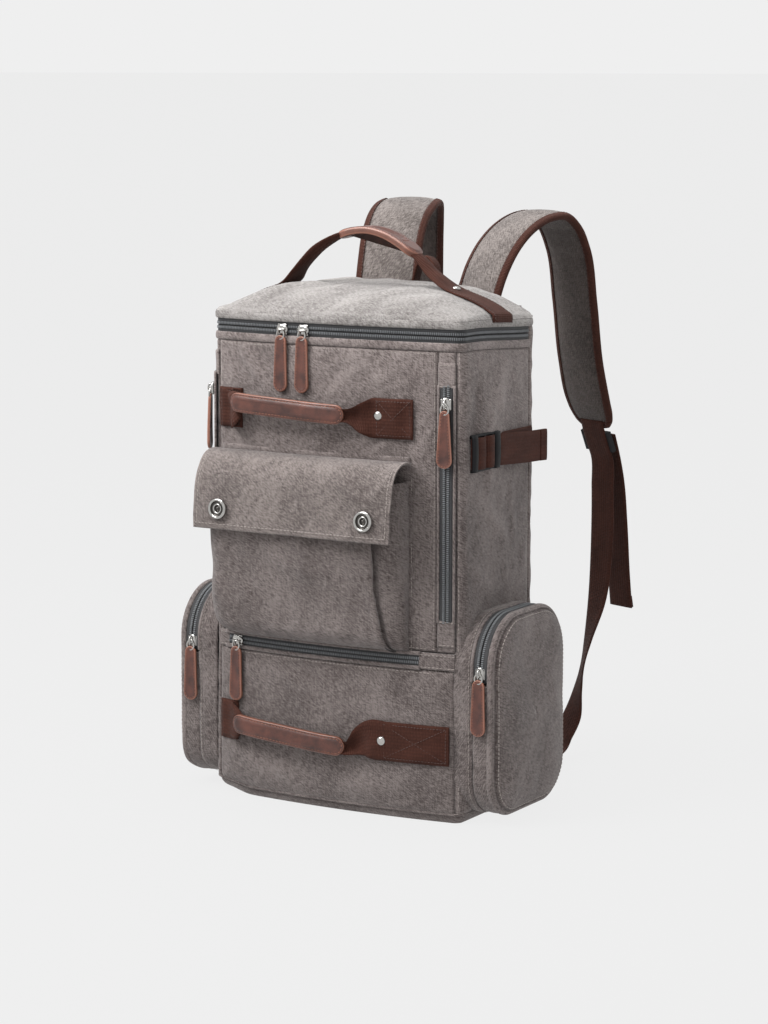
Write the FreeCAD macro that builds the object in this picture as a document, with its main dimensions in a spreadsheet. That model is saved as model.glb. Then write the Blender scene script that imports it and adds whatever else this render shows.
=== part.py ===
import math
import os

import FreeCAD
import Part
import Sketcher
from FreeCAD import Placement, Rotation, Vector

# Canvas travel backpack. Millimetres, +X to the wearer's right of the front face, +Y to the wearer's
# back, +Z up. The origin is the centre of the base, on the surface the pack stands on.

SIZES = [
    ("body_width", 271, "outer width of the body"),
    ("body_depth", 150, "depth of the body at its corners"),
    ("front_crown", 9, "how far the front bows out in the middle"),
    ("rear_radius", 18, "plan radius of the rear corners"),
    ("wall", 3, "thickness of lined canvas"),
    ("base_height", 10, "height of the base panel"),
    ("base_inset", 9, "how far the base turns in below"),
    ("zip_height", 462, "height of the main zip's centre line"),
    ("fold_height", 476, "height of the fold the lid opens about"),
    ("lid_top", 500, "height of the lid's crown"),
    ("slit", 1.4, "gap between the two rows of a zip"),
    ("tape", 2.2, "thickness of zip tape and coil"),
    ("tape_half", 7, "width of one zip half"),
    ("web_width", 38, "width of the handle webbing"),
    ("web_thick", 2.2, "thickness of the webbing"),
    ("narrow_web", 30, "width of the side strap webbing"),
    ("seam_height", 152, "height of the lower front zip"),
    ("corner_seam", 121, "x of the seam where a front corner starts"),
    ("rear_seam", 57, "y of the seam where the back panel starts"),
    ("pocket_left", -118, "left side of the flap pocket"),
    ("pocket_right", 82, "right side of the flap pocket"),
    ("pocket_bottom", 160, "bottom of the flap pocket"),
    ("pocket_top", 325, "mouth of the flap pocket"),
    ("flap_width", 217, "width of the pocket flap"),
    ("flap_thick", 3, "thickness of the pocket flap"),
    ("snap_width", 22, "diameter of a snap's ring"),
    ("snap_height", 290, "height of the snaps"),
    ("rivet_width", 8, "diameter of a rivet's head"),
    ("upper_handle", 389, "height of the upper front handle"),
    ("lower_handle", 72, "height of the lower front handle"),
    ("side_out", 172, "x of a side pocket's outer edge"),
    ("side_slit", 158, "x of a side pocket's zip"),
    ("side_split", 141, "height a side pocket's cover folds at"),
    ("side_arch", 60, "radius of a side pocket's top corners"),
    ("side_foot", 38, "radius of a side pocket's bottom corners"),
    ("strap_width", 63, "width of a shoulder strap"),
    ("strap_thick", 12, "thickness of a shoulder strap"),
    ("strap_splay", 20, "degrees each shoulder strap turns out"),
    ("lower_web", 32, "width of the webbing below a shoulder strap"),
    ("slider_long", 13, "length of a zip slider"),
    ("slider_wide", 9, "width of a zip slider"),
    ("plate", 1.2, "thickness of a slider's outer plate"),
    ("pull_width", 12, "width of a leather pull"),
    ("pull_thick", 2.6, "thickness of a leather pull"),
    ("buckle_bar", 4, "width of a buckle's bars"),
    ("buckle_thick", 4.5, "thickness of a buckle"),
]

doc = FreeCAD.newDocument("TravelBackpack")
sheet = doc.addObject("Spreadsheet::Sheet", "Sizes")
for row, (alias, value, meaning) in enumerate(SIZES, start=1):
    sheet.set("A%d" % row, meaning)
    sheet.set("B%d" % row, str(value))
    sheet.setAlias("B%d" % row, alias)
doc.recompute()


def size(alias):
    """Value of one driving dimension."""
    return float(sheet.get(alias))


HALF_WIDTH = size("body_width") / 2
HALF_DEPTH = size("body_depth") / 2
CORNER = size("corner_seam")
CROWN = size("front_crown")
WALL = size("wall")
ZIP = size("zip_height")
SLIT = size("slit")
TAPE = size("tape")
FAR = 400
BOW_RADIUS = (CORNER ** 2 + CROWN ** 2) / (2 * CROWN)
BOW_CENTRE = BOW_RADIUS - HALF_DEPTH - CROWN
BOW_ANGLE = math.asin(CORNER / BOW_RADIUS)
FRONT_RADIUS = (HALF_WIDTH - CORNER) / (1 - math.sin(BOW_ANGLE))
TURN_X = HALF_WIDTH - FRONT_RADIUS
TURN_Y = FRONT_RADIUS * math.cos(BOW_ANGLE) - HALF_DEPTH

# Places, in the same units: x or y along a seam, z heights, and degrees turned round a front corner.
MAIN_LEFT = -52
MAIN_RIGHT = -28
LOWER_START = -105
RIGHT_TURN = 13
LEFT_TURN = 68
CORNER_START = 400
SNAP_LEFT = -99
SNAP_RIGHT = 62
ARCH_Y = -15
ARCH_Z = 142
ARCH_RUN = 20
SIDE_BOTTOM = 12
SIDE_START = 8
STRAP_HEIGHT = 353
RIGHT_START = -57
LEFT_START = -50
RIGHT_LOCK = -38
LEFT_LOCK = -18
ROOT_X = 52.5
ROOT_Y = 110

X_AXIS = Vector(1, 0, 0)
Z_AXIS = Vector(0, 0, 1)
nodes = []


# ---------------------------------------------------------------- helpers

def keep(obj, label):
    """Names a finished sub-part and adds it to the list that is written out."""
    obj.Label = label
    nodes.append(obj)
    return obj


def soft(label, shape):
    """A sewn sub-part, whose curved shape is made by Part's own functions."""
    obj = doc.addObject("Part::Feature", label)
    obj.Shape = shape
    return keep(obj, label)


def primitive(kind, name, place, **sizes):
    """A Part primitive whose sizes are expressions of the sheet's cells."""
    obj = doc.addObject("Part::" + kind, name)
    for prop, expression in sizes.items():
        obj.setExpression(prop, expression)
    obj.Placement = place
    return obj


def joined(kind, name, members):
    """A fuse or a compound of document objects."""
    obj = doc.addObject("Part::" + kind, name)
    obj.Shapes = members
    return obj


def group(label, members):
    """Identical pieces kept as one node."""
    obj = doc.addObject("Part::Compound", label)
    obj.Links = members
    return keep(obj, label)


def cut(name, base, tool):
    """The first object less the second."""
    obj = doc.addObject("Part::Cut", name)
    obj.Base = base
    obj.Tool = tool
    return obj


def slab(x0, x1, y0, y1, z0, z1):
    """A plain box between two corners."""
    return Part.makeBox(x1 - x0, y1 - y0, z1 - z0, Vector(x0, y0, z0))


def mirrored(shape):
    """The same shape on the other side of the pack."""
    return shape.mirror(Vector(0, 0, 0), X_AXIS)


def arc(centre, radius, start, sweep=90):
    """An arc in a horizontal plane, by its start angle in degrees."""
    points = []
    for part in (0, 0.5, 1):
        angle = math.radians(start + sweep * part)
        points.append(centre + Vector(radius * math.cos(angle), radius * math.sin(angle), 0))
    return Part.Arc(*points).toShape()


def plan(offset, height):
    """Plan outline of the body, moved out by offset, at a height: a bowed front, round corners."""
    front = max(FRONT_RADIUS + offset, 4)
    rear = max(size("rear_radius") + offset, 4)
    shift = FRONT_RADIUS + offset - front
    turn_x = TURN_X + shift
    turn_y = TURN_Y - shift
    a = HALF_WIDTH + offset
    f = HALF_DEPTH + offset
    lean = math.degrees(BOW_ANGLE)
    edges = [
        arc(Vector(turn_x, turn_y, height), front, lean - 90, 90 - lean),
        Part.makeLine(Vector(a, turn_y, height), Vector(a, f - rear, height)),
        arc(Vector(a - rear, f - rear, height), rear, 0),
        Part.makeLine(Vector(a - rear, f, height), Vector(rear - a, f, height)),
        arc(Vector(rear - a, f - rear, height), rear, 90),
        Part.makeLine(Vector(-a, f - rear, height), Vector(-a, turn_y, height)),
        arc(Vector(-turn_x, turn_y, height), front, 180, 90 - lean),
    ]
    left = edges[-1].Vertexes[-1].Point
    right = edges[0].Vertexes[0].Point
    bow = Part.Arc(left, Vector(0, -f - CROWN, height), right).toShape()
    return Part.Wire([bow] + edges)


def block(offset, low, high):
    """Solid body outline between two heights."""
    return Part.Face(plan(offset, low)).extrude(Vector(0, 0, high - low))


def band(inner, outer, low, high):
    """A wall that follows the body's outline between two offsets and two heights."""
    return block(outer, low, high).cut(block(inner, low, high))


def ribbon(stations, thickness):
    """A strap through stations, each a point and the vector to its edge."""
    points = [Vector(*point) for point, _ in stations]
    sections = []
    for i, (_, edge) in enumerate(stations):
        edge = Vector(*edge)
        before = points[i] - points[max(i - 1, 0)]
        after = points[min(i + 1, len(points) - 1)] - points[i]
        before = (before if before.Length else after).normalize()
        after = (after if after.Length else before).normalize()
        along = (before + after).normalize()
        lift = along.cross(edge).normalize() * (thickness / 2 / along.dot(after))
        corners = [points[i] + edge + lift, points[i] - edge + lift]
        corners += [points[i] - edge - lift, points[i] + edge - lift]
        sections.append(Part.makePolygon(corners + corners[:1]))
    return Part.makeLoft(sections, True, True)


def bow_frame(x, z, offset):
    """Frame on the bowed front: its Y axis points into the pack."""
    angle = math.asin(x / BOW_RADIUS)
    reach = BOW_RADIUS + offset
    point = Vector(reach * math.sin(angle), BOW_CENTRE - reach * math.cos(angle), z)
    return Placement(point, Rotation(Z_AXIS, math.degrees(angle)))


def corner_frame(side, turn, z, offset):
    """Frame on a front corner, turned from the front towards a side by turn degrees."""
    reach = FRONT_RADIUS + offset
    angle = math.radians(turn)
    x = side * (TURN_X + reach * math.sin(angle))
    y = TURN_Y - reach * math.cos(angle)
    return Placement(Vector(x, y, z), Rotation(Z_AXIS, side * turn))


def moved(frame, x, y, z, turn=None):
    """A place inside a frame."""
    return frame.multiply(Placement(Vector(x, y, z), turn or Rotation()))


# ---------------------------------------------------------------- body

def make_base():
    """Base panel with its turned-in edge, and the stiff board inside it."""
    height = size("base_height")
    inset = size("base_inset")
    floor = Part.makeLoft([plan(-inset, 0), plan(0, height)], True, True)
    hollow = Part.makeLoft([plan(-inset - WALL, WALL), plan(-WALL, height)], True, True)
    soft("base_panel", floor.cut(hollow))
    soft("base_board", block(-inset - WALL - 1, WALL, WALL + 2.5))


def make_walls():
    """Front, side and back panels, cut from one wall along the seams."""
    low = size("base_height")
    zip_edge = ZIP - size("tape_half")
    seam = size("seam_height")
    rear = size("rear_seam")
    wall = band(-WALL, 0, low, zip_edge)
    soft("front_panel_upper", wall.common(slab(-CORNER, CORNER, -FAR, 0, seam, zip_edge)))
    soft("front_panel_lower", wall.common(slab(-CORNER, CORNER, -FAR, 0, low, seam)))
    flank = slab(CORNER, FAR, -FAR, rear, low, zip_edge)
    soft("side_panel_right", wall.common(flank))
    soft("side_panel_left", wall.common(mirrored(flank)))
    back = band(-WALL, 0, low, size("fold_height") - SLIT / 2)
    soft("back_panel", back.common(slab(-FAR, FAR, rear, FAR, 0, FAR * 2)))


def make_inside():
    """Back cushion and the divider of the sleeve inside."""
    cushion = primitive("Box", "BackCushion", Placement(Vector(-115, HALF_DEPTH, 40), Rotation()),
                        Length="230", Width="10", Height="388")
    rounded = doc.addObject("Part::Fillet", "BackCushionRounded")
    doc.recompute()
    upright = []
    for number, edge in enumerate(cushion.Shape.Edges, start=1):
        run = edge.Vertexes[0].Point - edge.Vertexes[1].Point
        if abs(run.y) > 1:
            upright.append((number, 22.0, 22.0))
    rounded.Base = cushion
    rounded.Edges = upright
    keep(rounded, "back_pad")
    sleeve = primitive("Box", "SleeveDivider", Placement(Vector(9 - HALF_WIDTH, 45, 6), Rotation()),
                       Length="Sizes.body_width - 18", Width="4", Height="370")
    keep(sleeve, "sleeve_divider")


def make_lid():
    """Domed lid: its skirt is the upper half of the main zip, its fold is at the rear."""
    skirt = ZIP + size("tape_half")
    top = size("lid_top")
    fold = size("fold_height")
    rear = size("rear_seam")
    steps = [(0, skirt), (-4, top - 16), (-14, top - 5), (-34, top)]
    outside = Part.makeLoft([plan(o, h) for o, h in steps], True, True)
    steps = [(-WALL, skirt), (-WALL - 4, top - 18), (-WALL - 15, top - 8), (-WALL - 35, top - WALL)]
    inside = Part.makeLoft([plan(o, h) for o, h in steps], True, True)
    below_fold = slab(-FAR, FAR, rear - SLIT, FAR, 0, fold + SLIT / 2)
    soft("lid_panel", outside.cut(inside).cut(below_fold))
    low = ZIP + SLIT / 2
    soft("main_zip_lid", band(-TAPE, 0, low, skirt).cut(below_fold))
    low = ZIP - size("tape_half")
    rear_part = slab(-FAR, FAR, rear, FAR, 0, FAR * 2)
    soft("main_zip_body", band(-TAPE, 0, low, ZIP - SLIT / 2).cut(rear_part))


# ---------------------------------------------------------------- zips

def make_lower_zip():
    """Zip across the front, laid over the seam of the lower pocket."""
    seam = size("seam_height")
    window = slab(-118, 95, -FAR, 0, 0, FAR)
    halves = []
    for way in (1, -1):
        coil = sorted((seam + way * SLIT / 2, seam + way * 5))
        edge = sorted((seam + way * 4, seam + way * 8))
        half = band(1.3, 1.3 + TAPE, *coil).fuse(band(0, 2.5, *edge)).common(window)
        halves.append(half.removeSplitter())
    soft("lower_zip", Part.makeCompound(halves))


def corner_zip(side, turn):
    """One upright zip on a front corner."""
    frame = corner_frame(1, turn, 0, 0)
    halves = []
    for way in (1, -1):
        halves_x = []
        for near, far in ((SLIT / 2, 4.4), (3.8, 7.5)):
            x0, x1 = sorted((way * near, way * far))
            cutter = slab(x0, x1, -20, 10, 195, 415)
            cutter.Placement = frame
            halves_x.append(cutter)
        coil = band(1.3, 1.3 + TAPE, 195, 415).common(halves_x[0])
        edge = band(0, 2.5, 195, 415).common(halves_x[1])
        halves.append(coil.fuse(edge).removeSplitter())
    shape = Part.makeCompound(halves)
    return shape if side > 0 else mirrored(shape)


def make_corner_zips():
    """Right zip faces forward, the left one has its zip round on the side."""
    soft("corner_zips", Part.makeCompound([corner_zip(1, RIGHT_TURN), corner_zip(-1, LEFT_TURN)]))


def make_slider(name, frame, along_z, hang):
    """Zip slider with its bail, and the pull that hangs from it.

    The frame sits on the outer face of the tape with its Y axis inwards; hang is the upright
    frame that the pull hangs in."""
    long_x = "Sizes.slider_wide" if along_z else "Sizes.slider_long"
    long_z = "Sizes.slider_long" if along_z else "Sizes.slider_wide"
    dx = size("slider_wide" if along_z else "slider_long") / 2
    dz = size("slider_long" if along_z else "slider_wide") / 2
    plate = size("plate")
    outer = primitive("Box", name + "Plate", moved(frame, -dx, -1 - plate, -dz),
                      Length=long_x, Width="Sizes.plate", Height=long_z)
    wing_x = dx - (1.5 if along_z else 1)
    wing_z = dz - (1 if along_z else 1.5)
    wing = primitive("Box", name + "Wing", moved(frame, -wing_x, 2.6, -wing_z),
                     Length="%g" % (2 * wing_x), Width="0.8", Height="%g" % (2 * wing_z))
    neck_x, neck_z = (0.45, 2) if along_z else (2, 0.45)
    neck = primitive("Box", name + "Neck", moved(frame, -neck_x, -1.5, -neck_z),
                     Length="%g" % (2 * neck_x), Width="4.6", Height="%g" % (2 * neck_z))
    bail = primitive("Box", name + "Bail", moved(frame, -1.1, -1 - plate - 3.6, -4),
                     Length="2.2", Width="3.9", Height="8")
    eye = primitive("Box", name + "Eye", moved(frame, -2, -1 - plate - 2.7, -2.2),
                    Length="4", Width="2", Height="4.4")
    bridge = cut(name + "Bridge", bail, eye)
    keep(joined("MultiFuse", name + "Slider", [outer, wing, neck, bridge]), "slider_" + name)
    make_pull(name, hang)


def make_pull(name, frame):
    """Wire link through the slider's bail, with a riveted leather tab on it."""
    width = size("pull_width")
    across = Rotation(Vector(0, 1, 0), 90)
    bar = primitive("Cylinder", name + "Bar", moved(frame, -4.5, 0, 0, across),
                    Radius="0.65", Height="9")
    sides = []
    for way in (-1, 1):
        sides.append(primitive("Box", name + "Side", moved(frame, way * 4.5 - 0.75, -0.75, -13),
                               Length="1.5", Width="1.5", Height="13.75"))
    tab = doc.addObject("Part::Feature", name + "Tab")
    tab.Shape = pull_tab(width / 2, -51, -13.5)
    tab.Placement = moved(frame, 0, -size("pull_thick") / 2, 0)
    keep(joined("MultiFuse", name + "Pull", [bar, tab] + sides), "pull_" + name)


def pull_tab(radius, low, high):
    """Leather tab with round ends whose centres are at two heights."""
    left = Vector(-radius, 0, 0)
    right = Vector(radius, 0, 0)
    down = Vector(0, 0, low)
    up = Vector(0, 0, high)
    edges = [
        Part.Arc(left + down, down - Vector(0, 0, radius), right + down).toShape(),
        Part.makeLine(right + down, right + up),
        Part.Arc(right + up, up + Vector(0, 0, radius), left + up).toShape(),
        Part.makeLine(left + up, left + down),
    ]
    return Part.Face(Part.Wire(edges)).extrude(Vector(0, size("pull_thick"), 0))


def hanging(frame, turn):
    """Frame at the middle of a slider's bail, where its link hangs straight down."""
    eye = moved(frame, 0, -1 - size("plate") - 1.95, 0)
    return Placement(eye.Base, turn)


def make_sliders():
    """All seven sliders at their places."""
    for name, x in (("main_left", MAIN_LEFT), ("main_right", MAIN_RIGHT)):
        frame = bow_frame(x, ZIP, 0)
        make_slider(name, frame, False, hanging(frame, frame.Rotation))
    frame = bow_frame(LOWER_START, size("seam_height"), 1.3 + TAPE)
    make_slider("lower", frame, False, hanging(frame, frame.Rotation))
    for name, side, turn in (("corner_right", 1, RIGHT_TURN), ("corner_left", -1, LEFT_TURN)):
        frame = corner_frame(side, turn, CORNER_START, 1.3 + TAPE)
        make_slider(name, frame, True, hanging(frame, frame.Rotation))
    for name, side in (("side_right", 1), ("side_left", -1)):
        angle = math.radians(SIDE_START)
        reach = size("side_arch")
        point = Vector(side * size("side_slit"), ARCH_Y - reach * math.cos(angle),
                       ARCH_Z + reach * math.sin(angle))
        frame = Placement(point, Rotation(X_AXIS, -SIDE_START))
        make_slider(name, frame, True, hanging(frame, Rotation()))


# ---------------------------------------------------------------- front

def make_flap_pocket():
    """Pocket sewn on the front, its flap, and the two snaps."""
    left = size("pocket_left")
    right = size("pocket_right")
    low = size("pocket_bottom")
    high = size("pocket_top")
    outside = Part.makePolygon([Vector(left, y, z) for y, z in
                                ((-60, low), (-106, low), (-116, high - 25), (-116, high), (-60, high),
                                 (-60, low))])
    inside = Part.makePolygon([Vector(left + WALL, y, z) for y, z in
                               ((-60, low + WALL), (-103, low + WALL), (-113, high - 25), (-113, FAR),
                                (-60, FAR), (-60, low + WALL))])
    solid = Part.Face(outside).extrude(Vector(right - left, 0, 0))
    hollow = Part.Face(inside).extrude(Vector(right - left - 2 * WALL, 0, 0))
    soft("pocket_body", solid.cut(hollow).cut(block(0, 0, FAR)))
    middle = (left + right) / 2 - 1.5
    line = [(-86, 343.5), (-97, 344.5), (-111, 340), (-120.5, 327), (-122.8, 310), (-125.3, 270)]
    edge = (size("flap_width") / 2, 0, 0)
    soft("pocket_flap", ribbon([((middle, y, z), edge) for y, z in line], size("flap_thick")))
    studs = []
    caps = []
    for x in (SNAP_LEFT, SNAP_RIGHT):
        studs.append(make_stud(x))
        caps.append(make_cap(x))
    group("snap_studs", studs)
    group("snap_caps", caps)


def make_stud(x):
    """Snap stud on the pocket's front."""
    lean = Rotation(X_AXIS, 90 + 4.1)
    place = Placement(Vector(x, -115.4, size("snap_height")), lean)
    foot = primitive("Cylinder", "StudFoot", place, Radius="Sizes.snap_width / 4", Height="2")
    pin = primitive("Cylinder", "StudPin", place, Radius="Sizes.snap_width / 8", Height="4.5")
    return joined("MultiFuse", "Stud", [foot, pin])


def make_cap(x):
    """Snap ring on the flap, turned up round a sunk socket."""
    lean = Rotation(X_AXIS, 90 - 3.6)
    place = Placement(Vector(x, -125.7, size("snap_height")), lean)
    disc = primitive("Cylinder", "CapDisc", place, Radius="Sizes.snap_width / 2", Height="2.6")
    sink = primitive("Cylinder", "CapSink", moved(place, 0, 0, 1.2),
                     Radius="Sizes.snap_width / 4", Height="3")
    return cut("Cap", disc, sink)


def make_patches():
    """Webbing patches that hold the two front handles, and their rivets."""
    upper = size("upper_handle")
    lower = size("lower_handle")
    half = size("web_width") / 2
    thick = size("web_thick")
    patches = []
    for x0, x1, z in ((-127, -103, upper - 5), (47, 89.5, upper - 5),
                      (-126, -103, lower + 4), (47, 126, lower + 4)):
        strip = band(0, thick, z - half, z + half)
        patches.append(strip.common(slab(x0, x1, -FAR, -40, 0, FAR)))
    soft("handle_patches", Part.makeCompound(patches))
    rivets = []
    for x, z in ((54, upper - 2), (60, lower + 2)):
        place = bow_frame(x, z, thick).multiply(Placement(Vector(0, 0, 0), Rotation(X_AXIS, 90)))
        rivets.append(primitive("Cylinder", "Rivet", place, Radius="Sizes.rivet_width / 2", Height="2"))
    group("handle_rivets", rivets)


def make_front_handle(name, height, left):
    """Carry handle on the front: webbing between the patches with a leather grip round it."""
    grip_line = [(-92, -96.5), (-76, -99), (0, -99), (16, -97)]
    grip = [((x, y, height), (0, 0, 11)) for x, y in grip_line]
    soft(name + "_grip", ribbon(grip, 6))
    left_web = [((left, -89.5, height), (0, 0, 3.5)), ((-93.3, -95.8, height), (0, 0, 9))]
    right_web = [((17.4, -96.6, height), (0, 0, 9)), ((28, -93, height), (0, 0, 4)),
                 ((45.5, -89.5, height), (0, 0, 3.5))]
    webs = [ribbon(left_web, 3), ribbon(right_web, 3)]
    soft(name + "_webbing", Part.makeCompound(webs))


# ---------------------------------------------------------------- top

def make_top_handle():
    """Arched handle over the lid: webbing ends and a leather grip in the middle."""
    left = [((-88, 0, 508.5), (0, 6, 0)), ((-78, 0, 518), (0, 12, 0)), ((-61, 0, 534), (0, 13, 0)),
            ((-36, 0, 547), (0, 11, 0))]
    right = [((47, 0, 531), (0, 11, 0)), ((62, 0, 518), (0, 10, 0)), ((76, 0, 508.5), (0, 6, 0))]
    soft("top_handle_webbing", Part.makeCompound([ribbon(left, 4), ribbon(right, 4)]))
    arch = [(-35, 547.5), (-20, 551), (-4, 552), (15, 548), (32, 540.5), (46, 531.7)]
    soft("top_handle_grip", ribbon([((x, 0, z), (0, 12, 0)) for x, z in arch], 7))


def make_lid_bands():
    """Webbing that carries the handle's load down the lid to the zip, and its rivets."""
    top = size("lid_top")
    half = size("web_width") / 2
    down = [(CORNER - 6, top + 1.3), (HALF_WIDTH - 13, top - 3.9), (HALF_WIDTH - 2.8, top - 15.6),
            (HALF_WIDTH + 1.3, ZIP + 8.5)]
    bands = []
    for way, start in ((1, 84), (-1, -96)):
        line = [(start, top + 1.3)] + [(way * x, z) for x, z in down]
        bands.append(ribbon([((x, 0, z), (0, half, 0)) for x, z in line], 2))
    soft("lid_handle_bands", Part.makeCompound(bands))
    rivets = []
    for x in (88, -100):
        place = Placement(Vector(x, 0, top + 2.3), Rotation())
        rivets.append(primitive("Cylinder", "LidRivet", place, Radius="Sizes.rivet_width / 2", Height="2"))
    group("lid_rivets", rivets)


def make_hang_loop():
    """Webbing loop at the top of the back, leaning away from the lid."""
    rise = [(-12, 94, 432), (-12, 96, 470), (-12, 99, 500), (-8, 102, 516), (0, 103, 522)]
    fall = [(-x, y, z) for x, y, z in reversed(rise[:-1])]
    edge = (0, 6, -1)
    line = [((x, y, z), edge) for x, y, z in rise + fall]
    soft("hang_loop", ribbon(line, 3))


# ---------------------------------------------------------------- sides

def pocket_outline(offset, x):
    """Outline of a side pocket, moved out by offset, in an upright plane."""
    arch = size("side_arch") + offset
    foot = size("side_foot") + offset
    front = ARCH_Y - size("side_arch") - offset
    rear = ARCH_Y + ARCH_RUN + size("side_arch") + offset
    foot_z = SIDE_BOTTOM + size("side_foot")
    foot_front = ARCH_Y - size("side_arch") + size("side_foot")
    foot_rear = ARCH_Y + ARCH_RUN + size("side_arch") - size("side_foot")

    def turn(y, z, radius, start):
        points = []
        for part in (0, 45, 90):
            angle = math.radians(start + part)
            points.append(Vector(x, y + radius * math.cos(angle), z + radius * math.sin(angle)))
        return Part.Arc(*points).toShape()

    top = ARCH_Z + arch
    bottom = SIDE_BOTTOM - offset
    edges = [
        turn(ARCH_Y + ARCH_RUN, ARCH_Z, arch, 0),
        Part.makeLine(Vector(x, ARCH_Y + ARCH_RUN, top), Vector(x, ARCH_Y, top)),
        turn(ARCH_Y, ARCH_Z, arch, 90),
        Part.makeLine(Vector(x, front, ARCH_Z), Vector(x, front, foot_z)),
        turn(foot_front, foot_z, foot, 180),
        Part.makeLine(Vector(x, foot_front, bottom), Vector(x, foot_rear, bottom)),
        turn(foot_rear, foot_z, foot, 270),
        Part.makeLine(Vector(x, rear, foot_z), Vector(x, rear, ARCH_Z)),
    ]
    return Part.Wire(edges)


def pocket_block(offset, x0, x1):
    """Solid of a side pocket's outline between two distances from the pack's middle."""
    return Part.Face(pocket_outline(offset, x0)).extrude(Vector(x1 - x0, 0, 0))


def pocket_ring(inner, x0, x1):
    """Gusset of a side pocket between two distances from the pack's middle."""
    return pocket_block(0, x0, x1).cut(pocket_block(inner, x0, x1))


def make_side_pockets():
    """Side pockets: gusset and lower face, zip, and the cover that folds down."""
    out = size("side_out")
    slit = size("side_slit")
    split = size("side_split")
    half = size("tape_half")
    above = slab(0, FAR, -FAR, FAR, split, FAR)
    below = slab(0, FAR, -FAR, FAR, -FAR, split)
    gusset = pocket_ring(-2.5, 128, slit - half)
    foot = pocket_ring(-2.5, slit - half, out).common(below)
    face = pocket_block(0, out, out + WALL)
    lower = gusset.fuse([foot, face.common(below)]).cut(block(0.05, -1, FAR)).removeSplitter()
    tape = pocket_ring(-TAPE, slit - half, slit - SLIT / 2).common(above)
    rim = pocket_ring(-TAPE, slit + SLIT / 2, out).common(slab(0, FAR, -FAR, FAR, split + SLIT, FAR))
    cover = face.common(slab(0, FAR, -FAR, FAR, split + 0.5, FAR)).fuse(rim).removeSplitter()
    for name, turn in (("right", lambda shape: shape), ("left", mirrored)):
        soft("side_pocket_" + name, turn(lower))
        soft("side_cover_" + name, turn(cover))
    soft("side_zips", Part.makeCompound([tape, mirrored(tape)]))


def side_strap(turns, start_y, lock_y):
    """Right side strap: the short web from the corner, the web from the back, and its free end."""
    height = STRAP_HEIGHT
    edge = (0, 0, size("narrow_web") / 2)
    flat = HALF_WIDTH + 1.4
    front = []
    for turn in turns:
        angle = math.radians(turn)
        reach = FRONT_RADIUS + 1.4
        front.append(((TURN_X + reach * math.sin(angle), TURN_Y - reach * math.cos(angle), height), edge))
    front.append(((flat, start_y, height), edge))
    front.append(((flat, lock_y - 1, height), edge))
    back = [((flat, 55, height), edge), ((flat, lock_y + 1, height), edge)]
    tail = [((HALF_WIDTH + 4.5, lock_y + 19, height - 2), edge), ((HALF_WIDTH + 7, 10, height - 2), edge),
            ((HALF_WIDTH + 10, 34, height - 2), edge), ((HALF_WIDTH + 14, 62, height - 2), edge)]
    return [ribbon(line, 2) for line in (front, back, tail)]


def make_compression_straps():
    """Both side straps and their ladder locks; the left ones start behind the zip there."""
    webs = side_strap((50, 60, 70, 80), RIGHT_START, RIGHT_LOCK)
    webs += [mirrored(web) for web in side_strap((), LEFT_START, LEFT_LOCK)]
    soft("compression_straps", Part.makeCompound(webs))
    locks = []
    for side, lock_y in ((1, RIGHT_LOCK), (-1, LEFT_LOCK)):
        place = Placement(Vector(side * (HALF_WIDTH + 3), lock_y, STRAP_HEIGHT), Rotation(Z_AXIS, 90 * side))
        locks.append(make_lock("SideLock", place, "Sizes.narrow_web", 36))
    group("compression_buckles", locks)


def make_lock(name, place, web, length):
    """Ladder lock: a frame with two slots, padded from one sketch, its face along its own X and Z."""
    body = doc.addObject("PartDesign::Body", name)
    bar = size("buckle_bar")
    width = size(web.split(".")[1]) + 2 * bar
    plane = origin_plane(body, "XZ_Plane")
    outline = sketch_box(body, plane, name + "Outline", length, width, 0)
    outline.setExpression("Constraints.tall", web + " + 2 * Sizes.buckle_bar")
    pad = body.newObject("PartDesign::Pad", name + "Pad")
    pad.Profile = outline
    pad.setExpression("Length", "Sizes.buckle_thick")
    doc.recompute()
    slot = (length - 3 * bar) / 2
    for way in (-1, 1):
        hole = sketch_box(body, plane, name + "Slot", slot, width - 2 * bar, way * (slot + bar) / 2)
        pocket = body.newObject("PartDesign::Pocket", name + "Pocket")
        pocket.Profile = hole
        pocket.Type = "ThroughAll"
        pocket.Reversed = True
        before = body.Shape.Volume
        doc.recompute()
        if body.Shape.Volume > before - 1:
            pocket.Reversed = False
            doc.recompute()
    body.Placement = place
    return body


def origin_plane(body, role):
    """One of a body's own origin planes."""
    return next(item for item in body.Origin.OriginFeatures if item.Role == role)


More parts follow.
